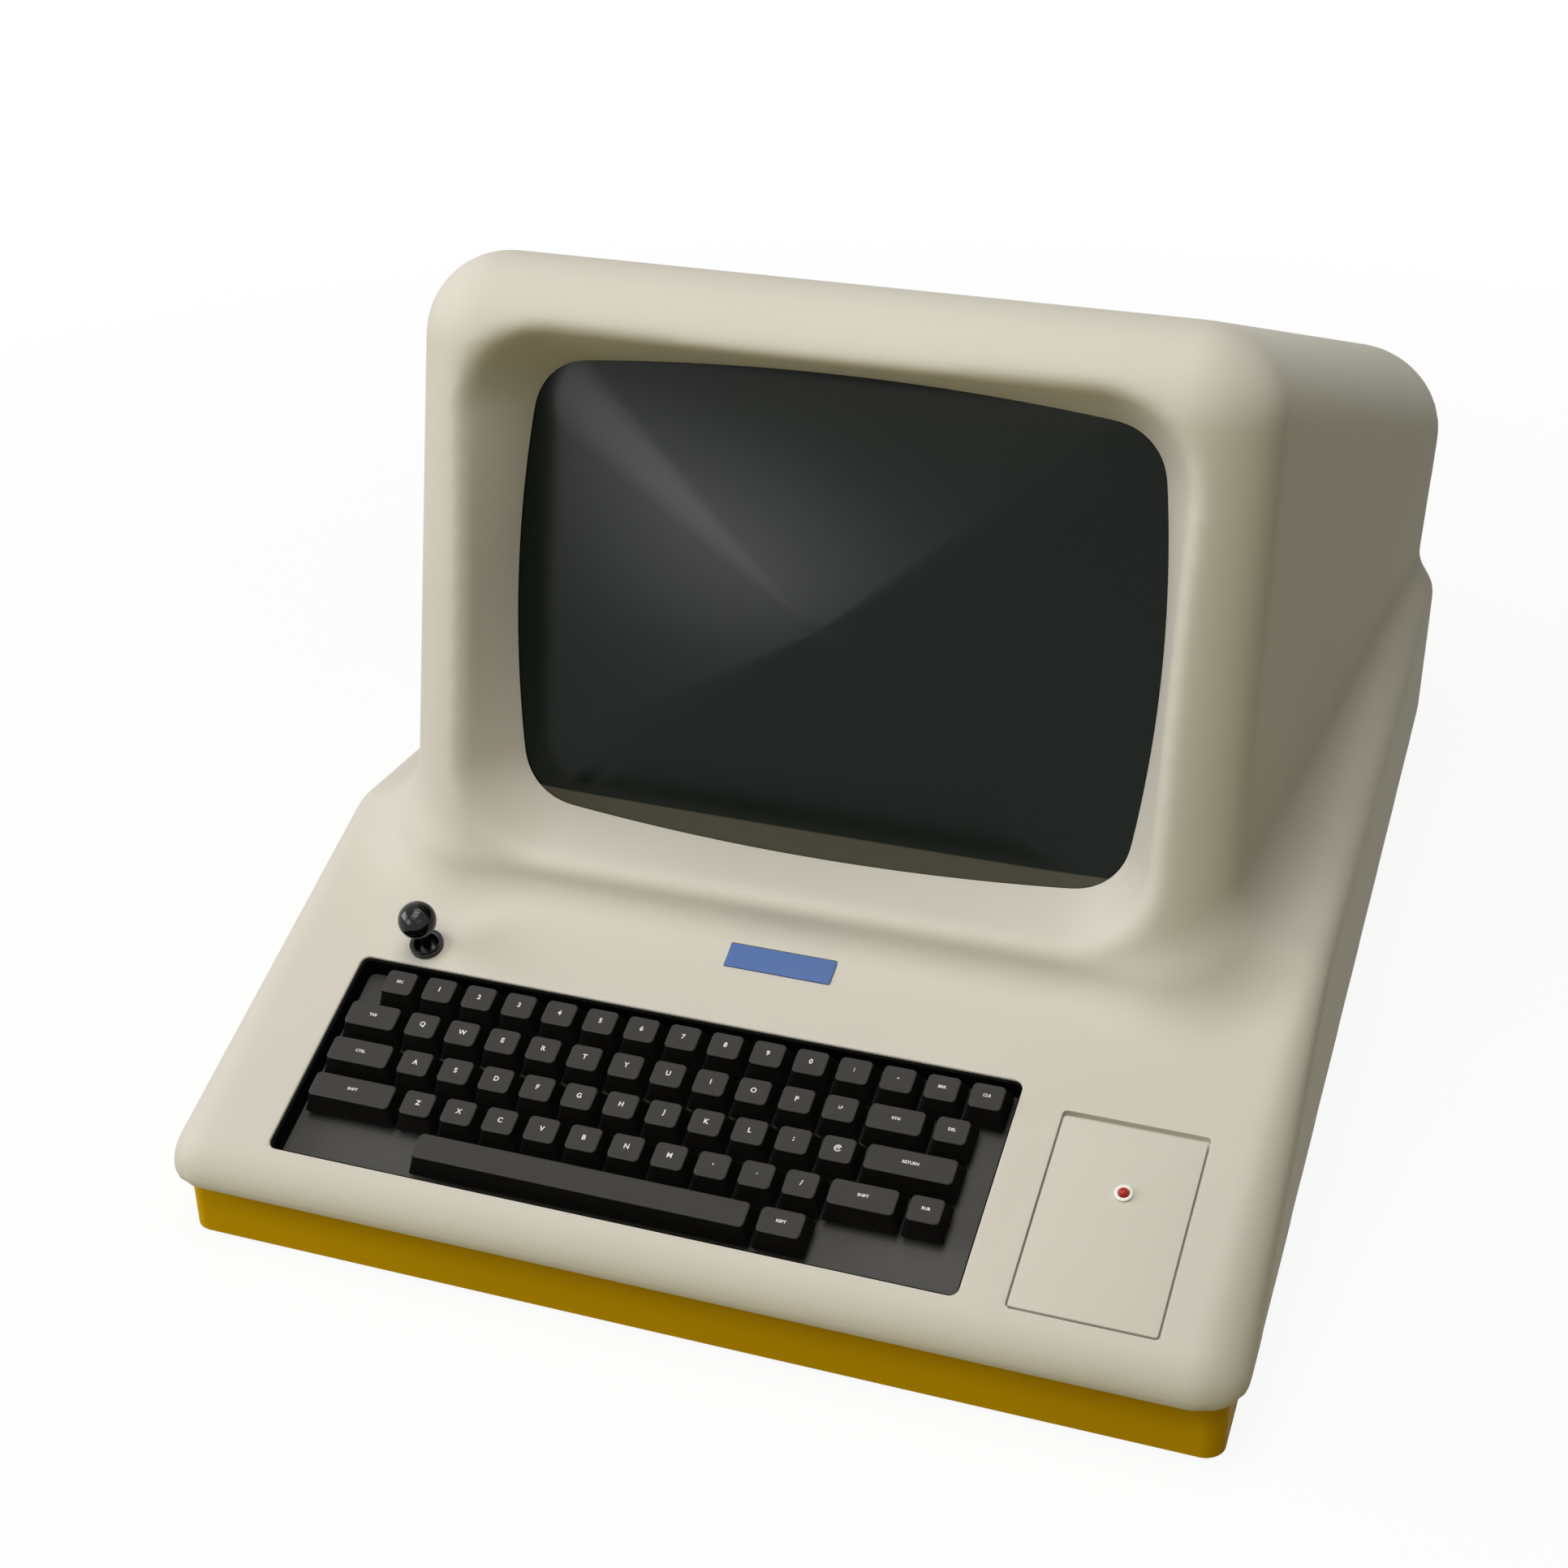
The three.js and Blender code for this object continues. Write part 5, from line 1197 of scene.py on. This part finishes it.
def keyboard():
    """Tray of one black plastic, its upward floor painted lighter grey (painted light) and its walls near
    black (painted shade); the switches, and the caps over them.
    """
    bottom = -PLATE_DEPTH - TRAY_FLOOR
    under = -SHELL_WALL - SEAT_GAP
    middle_up = WELL_FRONT_EDGE + WELL_HEIGHT / 2
    width, height = WELL_WIDTH - 2 * SEAT_GAP, WELL_HEIGHT - 2 * SEAT_GAP
    radius = WELL_CORNER_RADIUS - SEAT_GAP
    tray = make_mesh("keyboard_tray", slab(width, height, radius, bottom, -2 * SEAT_GAP, WELL_CENTRE_X,
                                           middle_up, edge=TRAY_EDGE), DECK)
    fuse(tray, slab(width + 2 * TRAY_FLANGE, height - TRAY_FLANGE, radius, under - TRAY_FLOOR, under,
                    WELL_CENTRE_X, middle_up), DECK)
    # The plate runs out to the right and front edges, where no wall shows
    walls = TRAY_WALL + TRAY_THIN_WALL
    shift = (TRAY_WALL - TRAY_THIN_WALL) / 2
    cut(tray, slab(width - walls, height - walls, radius - TRAY_WALL / 2, -PLATE_DEPTH, OVERRUN,
                   WELL_CENTRE_X + shift, middle_up - shift), DECK)
    add_switches(tray, bottom)
    place(tray, "case", WELL_PAINTED_SHADE_BLACK, "keyboard_plate")
    # Upward faces of the floor take the lighter grey copy: painted light; walls and switches keep the
    # near-black copy: painted shade
    floor = DECK @ Vector((0, 0, -PLATE_DEPTH))
    repaint(tray, KEY_FLOOR_PAINTED_LIGHT, lambda middle, normal:
            abs((middle - floor).dot(DECK_OUT)) < 0.05 and normal.dot(DECK_OUT) > 0.9)
    for key in keys():
        key_cap(key)


# Panel, lamp, name plate and joystick

def deck_at(x, up, out=0):
    """Frame at a place on the deck."""
    return DECK @ Matrix.Translation((x, up, out))


def option_panel():
    """Flush panel right of the keyboard, with the hole of its lamp."""
    panel = make_mesh("access_panel", slab(PANEL_WIDTH, PANEL_HEIGHT, PANEL_CORNER_RADIUS,
                                           -PANEL_THICKNESS, 0, PANEL_X, PANEL_UP, edge=PANEL_EDGE), DECK)
    hole = LAMP_NECK_RADIUS + SEAT_GAP
    cut(panel, turned([(hole, -PANEL_THICKNESS - OVERRUN), (hole, OVERRUN)]), deck_at(LAMP_X, LAMP_UP))
    place(panel, "case", CREAM_PLASTIC, "option_panel")


def lamp_ring():
    """White bezel with a rounded crown."""
    profile = [(LAMP_BORE_RADIUS, -LAMP_TAIL), (LAMP_NECK_RADIUS, -LAMP_TAIL), (LAMP_NECK_RADIUS, SEAT_GAP),
               (LAMP_RING_RADIUS - LAMP_RING_EDGE, SEAT_GAP), (LAMP_RING_RADIUS, SEAT_GAP + LAMP_RING_FOOT)]
    middle, half = (LAMP_RING_RADIUS + LAMP_BORE_RADIUS) / 2, (LAMP_RING_RADIUS - LAMP_BORE_RADIUS) / 2
    for turn in np.linspace(0, math.pi, 9):
        profile.append((middle + half * math.cos(turn),
                        LAMP_LIP - LAMP_RING_DROP + LAMP_RING_CROWN * math.sin(turn)))
    profile.append(profile[0])
    place(make_mesh("lamp_bezel", turned(profile), deck_at(LAMP_X, LAMP_UP)), "case", LAMP_WHITE, "lamp_ring")


def lamp_lens():
    """Red lens with a domed end."""
    radius = LAMP_BORE_RADIUS - SEAT_GAP
    profile = [(AXIS_GAP, -LAMP_TAIL), (radius, -LAMP_TAIL)]
    for turn in quarter_turns(9):
        profile.append((max(radius * math.cos(turn), AXIS_GAP), LAMP_LIP + radius * math.sin(turn)))
    place(make_mesh("lamp_dome", turned(profile), deck_at(LAMP_X, LAMP_UP)), "case", lens_red(), "lamp_lens")


def name_plate():
    """Bare blue plate above the keyboard."""
    low = -PLATE_SINK + SEAT_GAP
    plate = make_mesh("bare_plate", slab(PLATE_WIDTH, PLATE_HEIGHT, PLATE_CORNER_RADIUS, low,
                                         low + PLATE_THICKNESS, PLATE_X, PLATE_UP, edge=PLATE_EDGE), DECK)
    place(plate, "case", PLATE_BLUE, "name_plate")


def joystick_collar():
    """Hollow black collar with a drawn-in mouth."""
    low = -SHELL_WALL - SEAT_GAP
    profile = [(COLLAR_ROOM, low), (COLLAR_NECK_RADIUS, low), (COLLAR_NECK_RADIUS, SEAT_GAP),
               (COLLAR_RADIUS - COLLAR_FOOT, SEAT_GAP), (COLLAR_RADIUS, SEAT_GAP + COLLAR_FOOT)]
    for turn in quarter_turns(6):
        profile.append((COLLAR_RADIUS - COLLAR_BEVEL * (1 - math.cos(turn)),
                        COLLAR_HEIGHT - COLLAR_BEVEL * (1 - math.sin(turn))))
    profile += [(COLLAR_MOUTH + COLLAR_BEVEL, COLLAR_HEIGHT), (COLLAR_MOUTH, COLLAR_HEIGHT - COLLAR_BEVEL),
                (COLLAR_MOUTH, COLLAR_HEIGHT - COLLAR_LIP), (COLLAR_ROOM, COLLAR_HEIGHT - 1.5 * COLLAR_LIP),
                (COLLAR_ROOM, low)]
    place(make_mesh("stick_collar", turned(profile), deck_at(STICK_X, STICK_UP)), "case", SATIN_BLACK,
          "joystick_collar")


def lever_profile():
    """Shaft, dust dome and ball from the pivot up."""
    profile = [(AXIS_GAP, -GIMBAL_HEIGHT / 2), (STICK_SHAFT_RADIUS, -GIMBAL_HEIGHT / 2)]
    # The dust dome is centred on the pivot, so it fills the collar's mouth at every tilt
    root = math.asin(STICK_SHAFT_RADIUS / DUST_DOME_RADIUS)
    for radius, turns in ((DUST_DOME_RADIUS - DUST_DOME_WALL, np.linspace(root, DUST_DOME_SPREAD, 6)),
                          (DUST_DOME_RADIUS, np.linspace(DUST_DOME_SPREAD, root, 6))):
        profile += [(radius * math.sin(turn), radius * math.cos(turn)) for turn in turns]
    profile.append((STICK_SHAFT_RADIUS, PIVOT_DEPTH + COLLAR_HEIGHT))
    rise = BALL_HEIGHT + PIVOT_DEPTH
    start = math.asin(STICK_SHAFT_TOP_RADIUS * BALL_SEAT_SHARE / BALL_RADIUS)
    profile.append((STICK_SHAFT_TOP_RADIUS, rise - BALL_RADIUS * math.cos(start) - BALL_SEAT_DROP))
    for turn in np.linspace(start, math.pi, 33):
        profile.append((max(BALL_RADIUS * math.sin(turn), AXIS_GAP), rise - BALL_RADIUS * math.cos(turn)))
    return profile


def joystick_lever():
    """Lever with its hub, trunnions, dust dome and glossy ball."""
    reach = GIMBAL_INNER / 2 - 2 * SEAT_GAP
    hub = slab(2 * reach, 2 * reach, HUB_CORNER_RADIUS, -GIMBAL_HEIGHT / 2, GIMBAL_HEIGHT / 2)
    pin_end = GIMBAL_OUTER / 2 - SEAT_GAP
    pin_points, pin_faces = turned([(TRUNNION_RADIUS, -pin_end), (TRUNNION_RADIUS, pin_end)], 24)
    pin = (moved(pin_points, Matrix.Rotation(math.pi / 2, 4, "X")), pin_faces)
    lever = make_mesh("stick_lever", joined([turned(lever_profile()), hub, pin]),
                      deck_at(STICK_X, STICK_UP, -PIVOT_DEPTH))
    place(lever, "joystick_stick", SATIN_BLACK, "joystick_lever")
    ball = DECK @ Vector((STICK_X, STICK_UP, BALL_HEIGHT))
    ball_reach = BALL_RADIUS + STICK_SHAFT_RADIUS / 2
    repaint(lever, GLOSS_BLACK, lambda middle, normal: (middle - ball).length < ball_reach)


# Carried-over CAD nodes

def dress_nodes():
    """Materials of the pieces that the CAD solids themselves show."""
    finishes = {"deflection_yoke": COPPER, "rear_panel": STEEL, "power_rocker": BLACK_AND_PAINTED_CAP_SHADE,
                "brightness_knob": BLACK_AND_PAINTED_CAP_SHADE, "logic_board": BOARD_GREEN, "power_transformer": STEEL,
                "joystick_housing": BLACK_AND_PAINTED_CAP_SHADE, "joystick_gimbal": STEEL}
    for name, material in finishes.items():
        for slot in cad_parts[name].material_slots:
            slot.material = material


# Camera, floor and lights

def camera():
    """Camera of the photograph."""
    data = bpy.data.cameras.new("camera")
    data.sensor_width = SENSOR_WIDTH
    data.lens = SENSOR_WIDTH * FOCAL_PIXELS / PHOTO_PIXELS
    obj = add_object("camera", data)
    right, up, back = Vector(CAMERA_RIGHT), -Vector(CAMERA_DOWN), -Vector(CAMERA_FORWARD)
    turn = Matrix((right, up, back)).transposed().to_4x4()
    obj.matrix_world = Matrix.Translation(CAMERA_AT) @ turn
    scene.camera = obj


def softbox(name, at, aim, width, height, power, colour=(1, 1, 1)):
    """Area light that the camera doesn't see."""
    data = bpy.data.lights.new(name, "AREA")
    data.shape = "RECTANGLE"
    data.size = width
    data.size_y = height
    data.energy = power
    data.color = colour
    obj = add_object(name, data)
    obj.location = at
    obj.rotation_euler = (Vector(aim) - Vector(at)).to_track_quat("-Z", "Y").to_euler()
    obj.visible_camera = False
    return obj


def sheen_light():
    """Round light that fades to its edge and shows only in reflections: the sheen on the screen."""
    light = softbox("sheen_light", SHEEN_AT, SHEEN_AIM, SHEEN_SIZE, SHEEN_SIZE, SHEEN_POWER)
    light.visible_diffuse = False
    light.data.shape = "DISK"
    light.data.use_nodes = True
    tree = light.data.node_tree
    spot = tree.nodes.new("ShaderNodeNewGeometry").outputs["Parametric"]
    from_middle = add_node(tree, "ShaderNodeVectorMath", {0: spot, 1: (0.5, 0.5, 0)}, "DISTANCE")
    fade = ranged(tree, from_middle.outputs["Value"], (0, 0.5), (1, 0), "SMOOTHSTEP")
    put(tree, tree.nodes["Emission"], {"Strength": fade})


def lights():
    """Soft boxes round the object, and the sheen."""
    for name, toward, distance, width, height, power, colour in SOFTBOXES:
        at = Vector(toward).normalized() * distance + Vector(LIT_POINT)
        softbox(name, at, LIT_POINT, width, height, power, colour)
    sheen_light()


def seen_white(tree):
    """1 for rays whose background has to be plain white."""
    path = tree.nodes.new("ShaderNodeLightPath")
    total = path.outputs["Is Camera Ray"]
    for name in ("Is Glossy Ray", "Is Transmission Ray"):
        highest = add_node(tree, "ShaderNodeMath", {0: total, 1: path.outputs[name]}, "MAXIMUM")
        total = highest.outputs["Value"]
    return total


def mixed_surface(tree, output, factor, first, second):
    """Send two shaders, mixed by a factor, to an output node."""
    mix = add_node(tree, "ShaderNodeMixShader", {0: factor, 1: first, 2: second})
    put(tree, tree.nodes[output], {"Surface": mix.outputs["Shader"]})


def studio_floor():
    """Floor that is nearly white round the object, to keep its shadow, and white farther away."""
    size = FLOOR_REACH
    mesh = bpy.data.meshes.new("floor")
    mesh.from_pydata([(-size, -size, 0), (size, -size, 0), (size, size, 0), (-size, size, 0)], [],
                     [(0, 1, 2, 3)])
    floor = add_object("floor", mesh)
    material, tree, bsdf = shader("studio_floor")
    put(tree, bsdf, {"Base Color": blended(tree, seen_white(tree), FLOOR_THROWN, FLOOR_SEEN),
                     "Roughness": FLOOR_ROUGHNESS,
                     "Specular IOR Level": 0.0})
    glow = add_node(tree, "ShaderNodeEmission", {"Strength": 1.0})
    spot = tree.nodes.new("ShaderNodeNewGeometry").outputs["Position"]
    away = add_node(tree, "ShaderNodeVectorMath", {0: spot}, "LENGTH")
    fade = ranged(tree, away.outputs["Value"], FLOOR_FADE_FROM, FLOOR_FADE_TO)
    glowing = add_node(tree, "ShaderNodeMath", {0: seen_white(tree), 1: fade}, "MULTIPLY")
    mixed_surface(tree, "Material Output", glowing.outputs["Value"], bsdf.outputs["BSDF"],
                  glow.outputs["Emission"])
    floor.data.materials.append(material)


def studio_world():
    """Faint warm fill, which the camera and reflections see as white."""
    world = bpy.data.worlds.new("studio")
    scene.world = world
    world.use_nodes = True
    tree = world.node_tree
    fill = tree.nodes["Background"]
    put(tree, fill, {"Color": FILL_COLOUR, "Strength": FILL_STRENGTH})
    white = add_node(tree, "ShaderNodeBackground", {"Color": (1, 1, 1, 1)})
    mixed_surface(tree, "World Output", seen_white(tree), fill.outputs["Background"],
                  white.outputs["Background"])


camera()
studio_floor()
studio_world()
lights()
scene.view_settings.view_transform = "Standard"
upper_case()
lower_case()
picture_tube()
keyboard()
option_panel()
lamp_ring()
lamp_lens()
name_plate()
joystick_collar()
joystick_lever()
dress_nodes()
